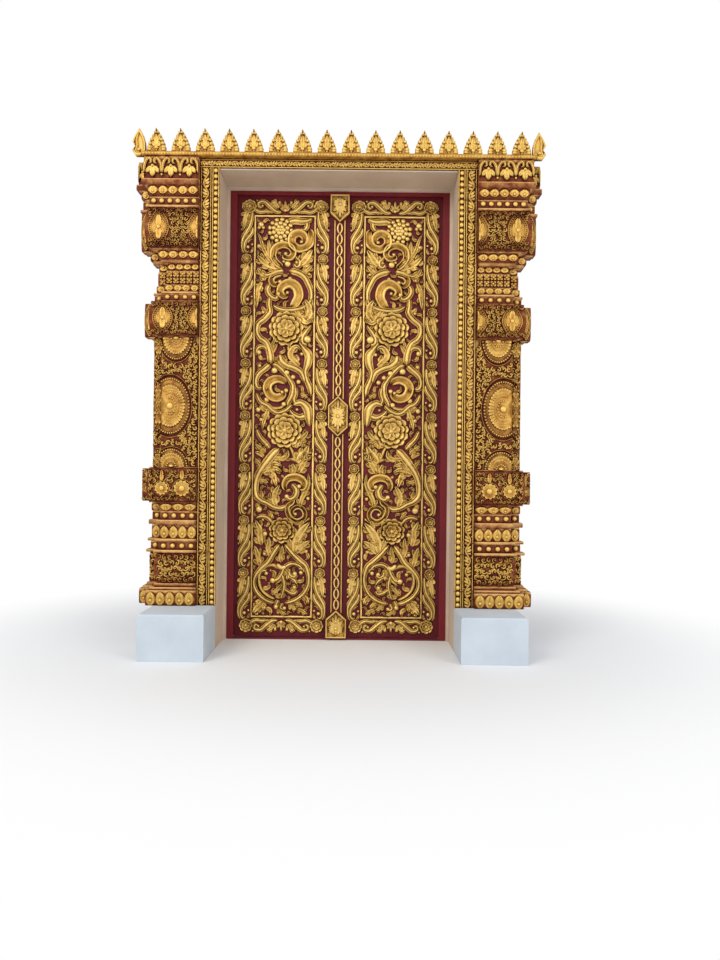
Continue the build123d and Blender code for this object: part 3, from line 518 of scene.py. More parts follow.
# Leaves: path, width, lobes, height
PANEL_LEAVES = (
    (((-22, 1590), (-70, 1626), (-98, 1672), (-110, 1712), (-126, 1746)), 24, 2, 17),
    (((-58, 1624), (-70, 1660), (-74, 1712)), 17, 1, 15), (((-52, 1636), (-56, 1670), (-58, 1712)), 10, 1, 13),
    (((-26, 1582), (-70, 1598), (-98, 1612), (-127, 1642)), 36, 3, 17),
    (((72, 1598), (96, 1626), (126, 1668)), 40, 3, 18),
    (((84, 1560), (104, 1576), (127, 1596)), 24, 2, 16), (((92, 1556), (110, 1552), (124, 1540)), 17, 1, 15),
    (((-84, 1548), (-104, 1556), (-124, 1584)), 26, 2, 16), (((-80, 1546), (-98, 1536), (-112, 1524)), 15, 1, 14),
    (((-104, 1520), (-120, 1486), (-124, 1440), (-128, 1398)), 28, 2, 16),
    (((-68, 1378), (-88, 1388), (-104, 1408)), 16, 2, 14),
    (((52, 1396), (74, 1358), (100, 1336), (125, 1344)), 34, 3, 17),
    (((96, 1344), (114, 1376), (112, 1410), (92, 1440)), 38, 3, 18),
    (((-64, 1200), (-54, 1228), (-42, 1260)), 14, 1, 14), (((-58, 1190), (-46, 1216), (-28, 1240)), 14, 1, 14),
    (((-56, 1160), (-36, 1172), (-22, 1166)), 18, 1, 13), (((-96, 1118), (-112, 1132), (-104, 1156)), 18, 2, 14),
    (((72, 1140), (46, 1164), (30, 1190), (42, 1218), (62, 1226), (78, 1208)), 34, 2, 18),
    (((12, 1150), (6, 1168), (4, 1190)), 14, 1, 13),
    (((98, 1110), (114, 1098), (126, 1092)), 18, 1, 14), (((76, 1010), (92, 1006), (112, 992)), 18, 2, 14),
    (((-94, 1040), (-82, 1034), (-76, 1026)), 12, 1, 13),
    (((-62, 962), (-74, 922), (-88, 884), (-94, 844)), 24, 3, 16), (((-74, 932), (-94, 944), (-110, 956)), 16, 1, 14),
    (((64, 764), (64, 786), (84, 806), (104, 826), (114, 846)), 32, 3, 17),
    (((82, 792), (100, 776), (112, 768)), 18, 1, 15),
    (((66, 700), (78, 716), (102, 744), (118, 776)), 44, 3, 18),
    (((72, 650), (88, 680), (104, 712), (106, 744)), 32, 3, 17),
    (((-78, 742), (-98, 758), (-126, 782)), 22, 2, 15), (((-86, 722), (-104, 738), (-127, 744)), 16, 1, 14),
    (((-98, 668), (-108, 694), (-127, 716)), 20, 2, 15),
    (((-44, 718), (-6, 716), (20, 728), (24, 758)), 28, 2, 17),
    (((-84, 682), (-56, 692), (-28, 692), (-2, 684)), 26, 2, 17),
    (((-96, 652), (-62, 668), (-30, 670), (-2, 656)), 30, 3, 17),
    (((-70, 652), (-46, 646), (-36, 620), (-24, 586)), 28, 2, 17),
    (((-108, 618), (-86, 614), (-62, 606)), 20, 2, 15),
    (((46, 640), (52, 664), (44, 694)), 30, 2, 16),
    (((-28, 500), (-38, 530), (-32, 562), (-12, 596)), 34, 2, 18),
    (((-60, 514), (-60, 538), (-54, 562)), 20, 1, 15), (((-104, 530), (-94, 548), (-98, 572)), 22, 2, 15),
    (((80, 494), (88, 530), (106, 568), (120, 610), (116, 652)), 26, 3, 16),
    (((-124, 506), (-110, 500), (-98, 488)), 18, 1, 14), (((-66, 478), (-50, 460), (-38, 440)), 18, 1, 14),
    (((-92, 322), (-100, 352), (-102, 392), (-122, 436)), 34, 3, 17), (((-96, 356), (-84, 366), (-78, 378)), 18, 1, 15),
    (((58, 292), (66, 340), (90, 386), (126, 428)), 46, 3, 18),
    (((66, 286), (88, 314), (108, 330), (129, 342)), 34, 2, 17),
    (((-50, 268), (-62, 304), (-58, 336), (-60, 360)), 30, 2, 17),
    (((-98, 226), (-106, 256), (-112, 286), (-124, 318)), 30, 2, 16),
    (((0, 244), (-6, 268), (2, 296), (0, 322)), 26, 2, 16),
    (((14, 212), (28, 190), (26, 162)), 22, 2, 16), (((-44, 96), (-18, 120), (4, 148)), 22, 2, 15),
    (((46, 106), (60, 126), (56, 148)), 20, 2, 14), (((-28, 88), (0, 90), (22, 100)), 16, 1, 14),
    (((92, 92), (108, 84), (127, 56)), 24, 2, 16), (((110, 120), (104, 132), (92, 140)), 14, 1, 13),
    (((-84, 64), (-98, 46), (-112, 34), (-130, 10)), 34, 3, 16), (((-92, 50), (-84, 40), (-78, 24)), 20, 1, 15),
    (((-20, 30), (0, 16), (26, 6)), 18, 2, 15), (((34, 52), (56, 36), (72, 26)), 20, 2, 15),
    (((70, 34), (96, 22), (120, 8)), 20, 2, 15), (((60, 58), (84, 52), (98, 38)), 18, 1, 14),
)

# Berries and curl ends: centre, radius, height
PANEL_BEADS = (
    ((-117, 1682), 11, 17), ((76, 1756), 9, 18), ((76, 1703), 9, 20), ((4, 1648), 9, 20), ((-38, 1626), 7, 14),
    ((13, 1604), 15, 17), ((-4, 1614), 8, 14), ((54, 1610), 8, 15), ((112, 1556), 8, 17), ((-20, 1520), 11, 19),
    ((24, 1536), 10, 16), ((-98, 1532), 8, 16), ((-29, 1466), 11, 18), ((13, 1472), 8, 18), ((-96, 1382), 9, 15),
    ((107, 1349), 8, 18), ((106, 1260), 18, 20), ((-114, 1199), 12, 18), ((82, 1193), 9, 15), ((-42, 1117), 15, 17),
    ((14, 1108), 13, 17), ((43, 1088), 11, 16), ((68, 1066), 11, 16), ((-110, 1138), 10, 16), ((12, 1026), 11, 17),
    ((-6, 1018), 9, 19), ((-76, 984), 13, 17), ((2, 964), 12, 16), ((-114, 938), 12, 17), ((-100, 893), 10, 16),
    ((62, 940), 7, 12), ((-74, 778), 9, 16), ((76, 590), 11, 19), ((20, 543), 11, 17), ((116, 535), 9, 15),
    ((-106, 484), 15, 17), ((60, 464), 8, 19), ((-88, 436), 7, 14), ((-78, 372), 12, 17), ((-79, 282), 9, 16),
    ((110, 294), 9, 15), ((-70, 192), 9, 16), ((-40, 160), 13, 18), ((60, 191), 11, 17), ((88, 197), 10, 16),
    ((58, 130), 10, 15), ((-24, 40), 11, 16), ((14, 34), 9, 15), ((-82, 28), 8, 15), ((-110, 1782), 14, 16),
    ((-100, 1768), 9, 14), ((-118, 1768), 9, 14),
)

# Flowers: centre, tiers of petals (count, inner, outer, width, foot, tip), heart (radius, height)
BIG_TIERS = ((13, 38, 81, 41, 6, 17), (10, 20, 63, 39, 12, 21), (7, 5, 42, 35, 17, 25))
PANEL_FLOWERS = (
    ((10, 1308), BIG_TIERS, (9, 25)),
    ((7, 844), BIG_TIERS, (9, 25)),
    ((0, 389), ((11, 26, 61, 32, 6, 17), (8, 14, 45, 30, 12, 21), (6, 4, 27, 23, 17, 24)), (7, 25)),
)
BALL_FLOWER = ((-20, 1755), ((13, 49, 12, 17), (10, 32, 12, 21), (6, 15, 11, 24)), (9, 25))


def panel_point(point):
    """A place in the panel's layout as a place on the door."""
    return (point[0] + PANEL_X, point[1] + PANEL_FOOT)


# The carving is fuller than the layout: strands by a factor and an addition, leaves by a factor
STRAND_FULLER, STRAND_ADDED, LEAF_FULLER, ACANTHUS_FULLER, ACANTHUS_FROM = 1.55, 5.0, 1.8, 1.5, 18


def panel_carving():
    """The scrolling vine of the inner panel, with its leaves, berries and four flowers."""
    carving = Carving(0.0, (PANEL_X - 131.5, PANEL_X + 131.5, PANEL_FOOT + 1, PANEL_FOOT + PANEL_HEIGHT - 1),
                      crest=22.0)
    for path, width, height, section in PANEL_STRANDS:
        fuller = [STRAND_FULLER * w + STRAND_ADDED for w in width]
        carving.strand([panel_point(p) for p in path], fuller, height, section, taper=(0.08, 0.06))
    for path, width, lobes, height in PANEL_LEAVES:
        place = [panel_point(p) for p in path]
        if width < ACANTHUS_FROM:
            carving.leaf(place, LEAF_FULLER * width, height, lobes, notch=0.3)
        else:
            carving.acanthus(place, ACANTHUS_FULLER * width, height, lobes)
    for centre, radius, height in PANEL_BEADS:
        carving.dome(panel_point(centre), radius, height * 0.5, height * 0.5)
    for centre, tiers, heart in PANEL_FLOWERS:
        carving.flower(panel_point(centre), tiers, heart, 0.1)
    centre, tiers, heart = BALL_FLOWER
    x, z = panel_point(centre)
    for order, (count, reach, radius, height) in enumerate(tiers):
        for k in range(count):
            turn = 2 * pi * (k + 0.5 * order) / count
            carving.dome((x + reach * cos(turn), z + reach * sin(turn)), radius, radius * 0.7, height - radius * 0.7,
                         around=9)
    carving.dome((x, z), heart[0], 6, heart[1] - 6)
    fill_gaps(carving, carving.limits)
    return carving


GAP_STEP, GAP_LEAST, GAP_MOST, GAP_MARGIN, GAP_HEIGHT = 5.0, 10.5, 24.0, 4.0, 14.0


def fill_gaps(carving, box):
    """Curled leaves in the open places of a carving, the widest place first, each rooted in the nearest form."""
    forms = kdtree.KDTree(len(carving.points))
    for k, (x, _, z) in enumerate(carving.points):
        forms.insert((x, z, 0.0), k)
    forms.balance()
    spots = []
    for j in range(int((box[3] - box[2]) / GAP_STEP)):
        for k in range(int((box[1] - box[0]) / GAP_STEP)):
            spot = (box[0] + GAP_STEP * (k + 0.5), box[2] + GAP_STEP * (j + 0.5))
            root, _, free = forms.find((*spot, 0.0))
            free = min(free, spot[0] - box[0] + GAP_MARGIN, box[1] - spot[0] + GAP_MARGIN,
                       spot[1] - box[2] + GAP_MARGIN, box[3] - spot[1] + GAP_MARGIN)
            if free > GAP_LEAST:
                spots.append((-free, spot, (root[0], root[1])))
    filled = []
    for free, spot, root in sorted(spots):
        free = min(-free, GAP_MOST)
        if any(hypot(spot[0] - x, spot[1] - z) < 0.95 * (free + other) for x, z, other in filled):
            continue
        filled.append((*spot, free))
        dx, dz = spot[0] - root[0], spot[1] - root[1]
        reach = max(hypot(dx, dz), 0.1)
        dx, dz = dx / reach, dz / reach
        hand = 1 if len(filled) % 2 else -1
        start = (spot[0] - dx * free * 1.15, spot[1] - dz * free * 1.15)
        bend = (spot[0] + hand * dz * free * 0.3, spot[1] - hand * dx * free * 0.3)
        end = (spot[0] + dx * free * 0.62 - hand * dz * free * 0.3, spot[1] + dz * free * 0.62 + hand * dx * free * 0.3)
        carving.leaf([start, bend, end], free * 1.15, GAP_HEIGHT, 2, notch=0.3)
        carving.dome((end[0] - hand * dz * free * 0.1, end[1] + hand * dx * free * 0.1), free * 0.24,
                     GAP_HEIGHT * 0.4, GAP_HEIGHT * 0.5, around=8)


# The band of foliage round the panel

BAND_WIDTH, BAND_REACH, BAND_UNITS = 58.0, 190, 8
BAND_FLOWER_LIGHT_HEIGHT = 8.5     # full height by which the band's flowers take their painted highlight and shade; less than the band's own, it makes them paler
TOP_BAND, BOTTOM_BAND = (1934.0, 2002.0), (29.0, 93.0)


def small_flower(carving, centre, tiers, heart):
    """A flower of the band, made paler by a stronger painted highlight: two tiers of petals round a boss (radius,
    height, foot, corners).
    """
    with carving.toned(BAND_FLOWER_LIGHT_HEIGHT):
        for count, *sizes in tiers:
            for k in range(count):
                carving.petal(centre, 2 * pi * k / count + pi / 2, *sizes)
        carving.dome(centre, *heart[:3], around=heart[3])


def band_unit(carving, outer, inward, top, pitch):
    """One repeat down a side band: flower, lobed leaf, crossing stems and a C-scroll round a berry."""
    at = placer(outer, top, BAND_WIDTH, -pitch, inward)
    small_flower(carving, at(0.48, 0.0), ((7, 5, 24, 22, 7, 13), (5, 2, 15, 17, 10, 15)), (5, 4, 10, 8))
    carving.acanthus([at(0.56, 0.08), at(0.4, 0.16), at(0.3, 0.28), at(0.24, 0.4), at(0.14, 0.46)], 40, 13, 2)
    carving.leaf([at(0.6, 0.12), at(0.58, 0.24), at(0.4, 0.4)], 14, 11, 1, spacing=5)
    carving.strand([at(0.86, 0.04), at(0.86, 0.2), at(0.7, 0.36), at(0.38, 0.5), at(0.12, 0.63), at(0.08, 0.76),
                    at(0.24, 0.88), at(0.46, 0.9)], (14, 20, 23, 23, 19, 11), (11, 14, 13, 11), REED, taper=(0.05, 0.1))
    carving.strand([at(0.97, 0.36), at(0.86, 0.5), at(0.56, 0.6), at(0.3, 0.7), at(0.3, 0.82), at(0.52, 0.87),
                    at(0.66, 0.82)], (12, 20, 22, 20, 16, 10), (11, 14, 12), REED, taper=(0.08, 0.1))
    carving.strand([at(0.94, 0.62), at(0.7, 0.64), at(0.52, 0.71)], (5, 9, 6), 11, RIDGE, taper=(0.1, 0.1))
    carving.dome(at(0.56, 0.77), 8.5, 6, 7, around=9)
    carving.dome(at(0.9, 0.72), 5.5, 4, 6, around=8)
    carving.dome(at(0.1, 0.44), 6, 5, 8, around=8)
    carving.leaf([at(0.74, 0.88), at(0.9, 0.84), at(0.98, 0.76)], 13, 11, 1, spacing=5)


def band_end(carving, middle, low, high, upward):
    """The band across the top or the foot: a centre palmette between mirrored S-scrolls, corner flowers."""
    height, centre = high - low, (low + high) / 2
    for turn in (-60, -30, 0, 30, 60):
        a = radians(90 + turn) if upward > 0 else radians(-90 - turn)
        foot = (middle, centre - upward * 0.26 * height)
        reach = height * (0.72 - 0.005 * abs(turn))
        carving.leaf([foot, (foot[0] + cos(a) * reach * 0.5, foot[1] + sin(a) * reach * 0.5),
                      (foot[0] + cos(a) * reach, foot[1] + sin(a) * reach)], 15, 12, 1, spacing=5)
    carving.dome((middle, centre - 0.22 * height * upward), 8, 5, 9)
    for side in (-1, 1):
        at = placer(middle, centre, BAND_REACH, upward * height, side)
        carving.strand([at(0.07, -0.34), at(0.22, -0.3), at(0.36, 0.02), at(0.5, 0.34), at(0.64, 0.26),
                        at(0.62, -0.02), at(0.52, 0.02)], (15, 22, 25, 22, 17, 11), (11, 14, 12), REED,
                       taper=(0.06, 0.1))
        carving.strand([at(0.26, -0.38), at(0.46, -0.3), at(0.62, -0.34), at(0.76, -0.06), at(0.74, 0.26)],
                       (12, 19, 20, 14), (10, 13, 11), REED, taper=(0.1, 0.12))
        carving.acanthus([at(0.18, -0.12), at(0.22, 0.16), at(0.34, 0.42)], 34, 12, 2)
        carving.leaf([at(0.46, -0.1), at(0.44, -0.3), at(0.36, -0.44)], 18, 11, 1, spacing=5)
        carving.dome(at(0.14, 0.3), 7, 5, 7, around=9)
        carving.dome(at(0.55, 0.08), 6, 5, 7, around=9)
        carving.dome(at(0.68, 0.42), 5, 4, 6, around=8)
        small_flower(carving, at(0.85, 0.02), ((8, 8, 31, 24, 7, 13), (6, 3, 19, 19, 10, 15)), (6, 3, 11, 9))


def border_carving():
    """The four bands of foliage between the panel's fillets and the leaf's edge."""
    outer, inner = PANEL_X - 202.0, PANEL_X + 202.0
    carving = Carving(0.0, (outer, inner, BOTTOM_BAND[0], TOP_BAND[1]), crest=13.0)
    top, foot = sum(TOP_BAND) / 2, sum(BOTTOM_BAND) / 2
    pitch = (top - foot) / BAND_UNITS
    for k in range(BAND_UNITS):
        for edge, inward in ((outer, 1), (inner, -1)):
            band_unit(carving, edge, inward, top - k * pitch, pitch)
    band_end(carving, PANEL_X, *TOP_BAND, 1)
    band_end(carving, PANEL_X, *BOTTOM_BAND, -1)
    return carving


def fillet_frame():
    """The plain gilt moulding round the inner panel, rounded and mitred."""
    carving = Carving(0.0, crest=9.0)
    half, foot, top = PANEL_WIDTH / 2, PANEL_FOOT, PANEL_FOOT + PANEL_HEIGHT
    section = ((0.0, 0.0), (0.06, 5.0), (0.18, 7.4), (0.34, 8.6), (0.5, 9.0), (0.66, 8.6), (0.82, 7.4), (0.94, 5.0),
               (1.0, 0.0))
    rows = []
    for sx, sz in ((-1, -1), (1, -1), (1, 1), (-1, 1), (-1, -1)):
        rows.append([(PANEL_X + sx * (half + 10 * u), (top if sz > 0 else foot) + sz * 10 * u, h)
                     for u, h in section])
    carving.grid(rows)
    return carving


# The astragal over the meeting line

STRIP_FRONT = 18.0
TOP_TAG, BOSS, BOTTOM_TAG = (43.0, 1893.0, 2016.0), (44.0, 922.5, 1104.5), (46.0, 11.0, 135.0)
TAG_POINT = 41.0


def tag_corners(half, foot, top, point_up, point_down):
    """The corners of a tag or of the six-sided boss, counter-clockwise from the lower left."""
    low = foot + (TAG_POINT if point_down else 0)
    high = top - (TAG_POINT if point_up else 0)
    corners = [(-half, low)]
    corners += [(0, foot)] if point_down else []
    corners += [(half, low), (half, high)]
    corners += [(0, top)] if point_up else []
    return corners + [(-half, high)]


def shrunk(corners, amount):
    """A convex outline, counter-clockwise, moved inwards by an amount."""
    result = []
    count = len(corners)
    for k in range(count):
        (ax, az), (bx, bz), (cx, cz) = corners[k - 1], corners[k], corners[(k + 1) % count]
        first, second = hypot(bx - ax, bz - az), hypot(cx - bx, cz - bz)
        n1 = (-(bz - az) / first, (bx - ax) / first)
        n2 = (-(cz - bz) / second, (cx - bx) / second)
        share = amount / max(1 + n1[0] * n2[0] + n1[1] * n2[1], 0.2)
        result.append((bx + (n1[0] + n2[0]) * share, bz + (n1[1] + n2[1]) * share))
    return result


def raised_tag(carving, half, foot, top, point_up, point_down):
    """A tag with a rounded rim and a palmette of plump leaves in its dished field."""
    corners = tag_corners(half, foot, top, point_up, point_down)
    rows = []
    for inward, h in ((0, 0), (0, 20.5), (0.8, 22.8), (2.5, 24), (4.4, 22.8), (5.4, 20), (6, 16), (7, 15)):
        rows.append([(x, z, h) for x, z in shrunk(corners, inward)])
    carving.grid(rows, closed=True)
    with carving.toned(40.0):
        carving.cap([(x, z, 15) for x, z in shrunk(corners, 7)])
    middle = (foot + top) / 2 + (0 if point_up == point_down else 20 if point_down else -20)
    reach = half - 9
    for up in (1, -1):
        tall = (top - middle if up > 0 else middle - foot) - 12
        for across, rise, width in ((0.95, 0.1, 15), (0.86, 0.52, 19), (0.42, 0.86, 17)):
            for side in (-1, 1):
                tip = (side * across * reach, middle + up * min(rise * tall, reach * 1.5))
                carving.leaf([(side * 2, middle + up * 5), (tip[0] * 0.55, (middle + up * 4 + tip[1]) / 2), tip],
                             width, 6, 1, base=14.5, spacing=3.5)
        carving.leaf([(0, middle + up * 4), (0, middle + up * tall * 0.5), (0, middle + up * tall)], 15, 7, 2,
                     base=14.5)
        carving.dome((0, middle + up * tall * 0.45), 6, 4, 18)
    carving.dome((0, middle), 8, 6, 17)


def astragal_tags():
    """The tags at both ends of the strip and the boss in its middle."""
    carving = Carving(STRIP_FRONT, crest=24.0)
    raised_tag(carving, *TOP_TAG, False, True)
    raised_tag(carving, *BOSS, True, True)
    raised_tag(carving, *BOTTOM_TAG, True, False)
    return carving


def astragal_chain():
    """The eye-shaped links between the tags and the fillets along both edges of the strip."""
    carving = Carving(STRIP_FRONT, crest=8.0)
    for low, high in ((BOTTOM_TAG[2], BOSS[1]), (BOSS[2], TOP_TAG[1])):
        count = round((high - low) / 50)
        pitch = (high - low) / count
        for k in range(count):
            z = low + k * pitch
            for side in (-1, 1):
                carving.strand([(side * 0.8, z + 1), (side * 7.6, z + 0.22 * pitch), (side * 10.4, z + 0.5 * pitch),
                                (side * 7.6, z + 0.78 * pitch), (side * 0.8, z + pitch - 1)],
                               (6.5, 9.0, 10.0, 9.0, 6.5), 8, ROUND)
        for side in (-1, 1):
            carving.strand([(side * 22.4, low - 12), (side * 22.4, high + 12)], 6.0, 6.0, ROUND, spacing=60)
    return carving


# The surround

# Each course up a pilaster: height, side projection, swelling, gilding of its face and the name of its ornament.
# Ledges and plain courses have none.
COURSES = (
    (65, 55, 0, 0.2, "foot_petals"), (12, 40, 0, 0.9, "ledge"), (16, 22, 0, 0.5, "plain"), (130, 10, 14, 0.1, "curls"),
    (12, 26, 0, 0.9, "ledge"), (36, 6, 0, 0.1, "balls"), (12, 20, 0, 0.9, "ledge"), (60, 2, 0, 0.1, "narrow_petals"),
    (20, 16, 0, 0.6, "plain"), (38, 0, 0, 0.1, "balls"), (35, 4, 0, 0.1, "broad_petals"), (7, 16, 0, 0.9, "ledge"),
    (140, 46, 10, 0.1, "flowers"), (7, 16, 0, 0.9, "ledge"), (554, 0, 0, 0.1, "rosettes"), (6, 20, 0, 0.9, "ledge"),
    (144, 42, 10, 0.1, "medallions"), (7, 5, 0, 0.9, "ledge"), (29, 0, 0, 0.1, "balls"), (10, 5, 0, 0.9, "ledge"),
    (31, -8, 0, 0.1, "narrow_petals"), (60, -14, 0, 0.1, "crosses"), (30, -18, 0, 0.1, "hanging_petals"),
    (17, 8, 0, 0.7, "ledge"), (35, 20, 0, 0.1, "broad_petals"), (7, 48, 0, 0.9, "ledge"),
    (168, 60, 12, 0.1, "medallions"), (12, 66, 0, 0.8, "ledge"), (36, 54, 0, 0.1, "balls"), (8, 43, 0, 0.9, "ledge"),
    (39, 62, 0, 0.1, "broad_petals"), (26, 84, 0, 0.3, "ledge"), (96, 76, 0, 0.1, "arcade"),
)
PLINTH_TOP, STRIPS_TOP, PILASTER_TOP, CORNICE_TOP = 185.0, 2053.0, 2090.0, 2108.0
SHAFT_X, INNER_X, STRIP_X, FRONT, PIER_FRONT, WALL = 750.0, 593.0, 540.0, 220.0, 184.0, 130.0
PIER_STEP, FRONT_SHARE, CORNICE_X = 43.0, 0.45, 833.0
BED = 6.0       # thickness of the strips' flat beds
RELIEF_SHADE_HEIGHT = 9.5      # full height by which medallions and rosettes take their painted highlight and shade; more than the ornament's own, it darkens them


def course_rows():
    """Each course as (foot, top, projection, swelling, gilding, ornament)."""
    share = (PILASTER_TOP - PLINTH_TOP) / sum(course[0] for course in COURSES)
    rows, z = [], PLINTH_TOP
    for height, *rest in COURSES:
        rows.append((z, z + height * share, *rest))
        z += height * share
    return rows


ROWS = course_rows()


def pilaster_body():
    """The stepped pilaster with rounded ledges, the pier behind it and the bed of the two strips."""
    carving = Carving(0.0)
    rows, gilt = [], []
    for foot, top, projection, swell, gilding, _ in ROWS:
        nose = min(2.0, (top - foot) * 0.24)
        for share, drop in ((0.0, 1.0), (0.06, 0.45), (0.2, 0.0), (0.5, 0.0), (0.8, 0.0), (0.94, 0.45), (1.0, 1.0)):
            reach = projection - nose * drop + swell * sin(pi * share)
            side, pier = -SHAFT_X - reach, -SHAFT_X - PIER_STEP - projection + nose * drop
            front = FRONT + FRONT_SHARE * reach
            z = mix(foot, top, share)
            rows.append([(-STRIP_X, z, FRONT), (-INNER_X, z, FRONT), (-INNER_X, z, front), (-INNER_X - 40, z, front),
                         (side + 60, z, front), (side + 1, z, front), (side, z, front - 1), (side, z, PIER_FRONT),
                         (pier + 1, z, PIER_FRONT), (pier, z, PIER_FRONT - 1), (pier, z, WALL), (-STRIP_X, z, WALL)])
            # Each course's gilding fades to painted shade towards its foot, the top edge of a plain course takes a
            # painted highlight, and the back towards the wall is painted shade darker than the ground.
            gilding_and_painted_light = gilding * (0.35 + 0.65 * share)
            if swell == 0 and share > 0.9:
                gilding_and_painted_light = 0.85
            gilt += [0.2, 0.3] + [gilding_and_painted_light] * 8 + [-0.3, -0.3]
    carving.grid(rows, closed=True)
    carving.cap(rows[-1])
    carving.cap(rows[0][::-1])
    carving.lift = gilt + [0.3] * (len(carving.points) - len(gilt))
    return carving


def curl(carving, x, z, reach, turn, hand, height, width):
    """A small C-shaped curl with a bead in its eye."""
    line = volute((x, z), reach, turn, 0.8 * hand, eye=0.35, step=45)
    carving.strand(line, (width * 0.6, width, width, width * 0.7), height, RIDGE, spacing=reach * 0.45)
    back = radians(turn + 200 * hand)
    carving.petal((x, z), back, reach * 0.8, reach * 1.55, width * 1.5, height * 0.6, height * 0.9)
    carving.dome((x, z), reach * 0.3, height * 0.5, height * 0.5, rings=2, around=6)


def pointed_medallion(carving, x, z, wide, tall):
    """An upright almond: a beaded border and a raised field with a leaf on it."""
    def edge(side, t, across, up):
        """A place on the almond's edge from its foot at 0 to its top at 1, drawn in to shares of its size."""
        return (x + side * wide * across * sin(pi * t) ** 0.85, z + tall * up * (t - 0.5))

    field = [(*edge(side, k / 12, 0.8, 0.8), 4.2)
             for side, spots in ((1, range(13)), (-1, range(12, -1, -1))) for k in spots]
    carving.grid([field, [(x, z, 5.4)] * len(field)], closed=True)
    for shape, width, rise in ((1.0, 5.0, 6.0), (0.78, 4.0, 7.0)):
        for side in (-1, 1):
            path = [edge(side, t, shape, shape) for t in (0.0, 0.12, 0.3, 0.5, 0.7, 0.88, 1.0)]
            carving.strand(path, width, rise, ROUND, spacing=6)
    count = round(tall / 9.5)
    for side in (-1, 1):
        for k in range(count):
            carving.dome(edge(side, (k + 0.5) / count, 0.87, 0.89), 4.4, 5, 2, rings=2, around=7)
    for up in (-1, 1):
        at = placer(x, z, wide, up * tall)
        carving.leaf([at(0, 0), at(0, 0.16), at(0, 0.34)], wide * 0.9, 9, 2, spacing=5)
        for side in (-1, 1):
            carving.leaf([at(0, 0), at(side * 0.3, 0.06), at(side * 0.5, 0.19)], wide * 0.5, 8, 1, spacing=5)
    carving.dome((x, z), wide * 0.2, 5, 7, around=9)


def round_rosette(carving, x, z, reach):
    """A round flower with a boss, in a beaded ring."""
    ring = [(x + reach * cos(radians(a)), z + reach * sin(radians(a))) for a in range(0, 361, 30)]
    carving.strand(ring, 3.5, 5, ROUND, spacing=6)
    for k in range(11):
        carving.petal((x, z), 2 * pi * k / 11, reach * 0.35, reach * 0.92, reach * 0.46, 4, 7.65)
    carving.dome((x, z), reach * 0.34, 6.3, 4.5)


def ring_rosette(carving, x, z, wide, tall, angles, low, high):
    """A large oval rosette, or part of one: rings of petals and beads round a boss, on a raised field."""
    carving.dome((x, z), wide * 0.97, 5.0, rings=3, around=24, oval=tall / wide)
    for share, kind in ((1.0, "rim"), (0.86, "beads"), (0.72, "rim"), (0.58, "petals"), (0.4, "rim"), (0.26, "beads")):
        count = max(6, round(abs(angles[1] - angles[0]) / 360 * (2 * pi * wide * share) / 9.5))

        def at(step):
            """The angle of a step round the ring, and its place."""
            a = radians(mix(*angles, step / count))
            return a, (x + wide * share * cos(a), z + tall * share * sin(a))

        if kind == "rim":
            carving.strand([at(k)[1] for k in range(count + 1)], 3.2, 5 + (1 - share) * 4, ROUND, spacing=6)
            continue
        for k in range(count):
            a, spot = at(k + 0.5)
            if low < spot[1] < high and kind == "beads":
                carving.dome(spot, 4.6, 4.5, 3 + (1 - share) * 4, rings=2, around=7)
            elif low < spot[1] < high:
                carving.petal(spot, a, -11, 11, 13, 6, 10)
    carving.dome((x, z), wide * 0.15, 7, 7)


def filler(carving, x0, x1, z0, z1, pitch, clear):
    """Small curls over a ground, left out where clear((x, z)) says that another form stands."""
    across, up = max(1, round((x1 - x0) / pitch)), max(1, round((z1 - z0) / pitch))
    for j in range(up):
        for k in range(across):
            shift = 0.25 if j % 2 else -0.25
            x = mix(x0, x1, (k + 0.5 + shift * 0.6) / across)
            z = mix(z0, z1, (j + 0.5) / up)
            if clear((x, z)):
                continue
            turn = 360 * noise(Vector((x * 0.031, z * 0.029, 1.7))) * 2
            curl(carving, x, z, pitch * 0.5, turn, 1 if (j + k) % 2 else -1, 8.5, pitch * 0.36)


def petal_row(inset, pitch, hang=False):
    """The maker of a row of petals about pitch wide, standing or hanging, each with a bead on it."""
    def make(carving, x0, x1, foot, top, main):
        """The row on one course."""
        x0, x1, foot, top = x0 + inset, x1 - inset, foot + 2, top - 2
        count = max(1, round((x1 - x0) / pitch))
        wide, tall = (x1 - x0) / count, top - foot
        root, up = (top, -1) if hang else (foot, 1)
        for k in range(count):
            at = placer(mix(x0, x1, (k + 0.5) / count), root, wide, up * tall)
            carving.leaf([at(0, 0), at(0, 0.5), at(0, 0.94)], wide * 1.1, 6, 1, notch=0.1, tip=1.35)
            carving.dome(at(0, 0.34), min(wide, tall) * 0.17, 4, 5, rings=3, around=8)
    return make


def arcade(carving, x0, x1, foot, top, main):
    """Round-headed curls side by side, each with a trefoil leaf hanging in it."""
    foot, top = foot + 3, top - 5
    count = max(1, round((x1 - x0) / 84))
    wide, tall = (x1 - x0) / count, top - foot
    for k in range(count):
        x = mix(x0, x1, (k + 0.5) / count)
        for side in (-1, 1):
            at = placer(x, foot, wide, tall, side)
            carving.strand([at(0.47, 0.2), at(0.45, 0.62), at(0.3, 0.88), at(0.12, 0.9), at(0.1, 0.72), at(0.24, 0.68)],
                           (9, 13, 13, 12, 11, 8), 10, REED, taper=(0.1, 0.1))
            carving.leaf([at(0, 0.5), at(0.2, 0.4), at(0.34, 0.22)], wide * 0.32, 10, 2)
        carving.leaf([at(0, 0.6), at(0, 0.3), at(0, 0.03)], wide * 0.42, 12, 2)
        carving.dome(at(0, 0.56), 6, 5, 8, around=8)
        carving.dome(at(-0.5, 0.14), 5, 5, 4, around=8)


def balls(carving, x0, x1, foot, top, main):
    """A row of evenly spaced balls."""
    count = max(1, round((x1 - x0 - 6) / 35))
    for k in range(count):
        carving.dome((mix(x0 + 3, x1 - 3, (k + 0.5) / count), (foot + top) / 2), min(11, (top - foot) * 0.36), 8.5, 1.5)


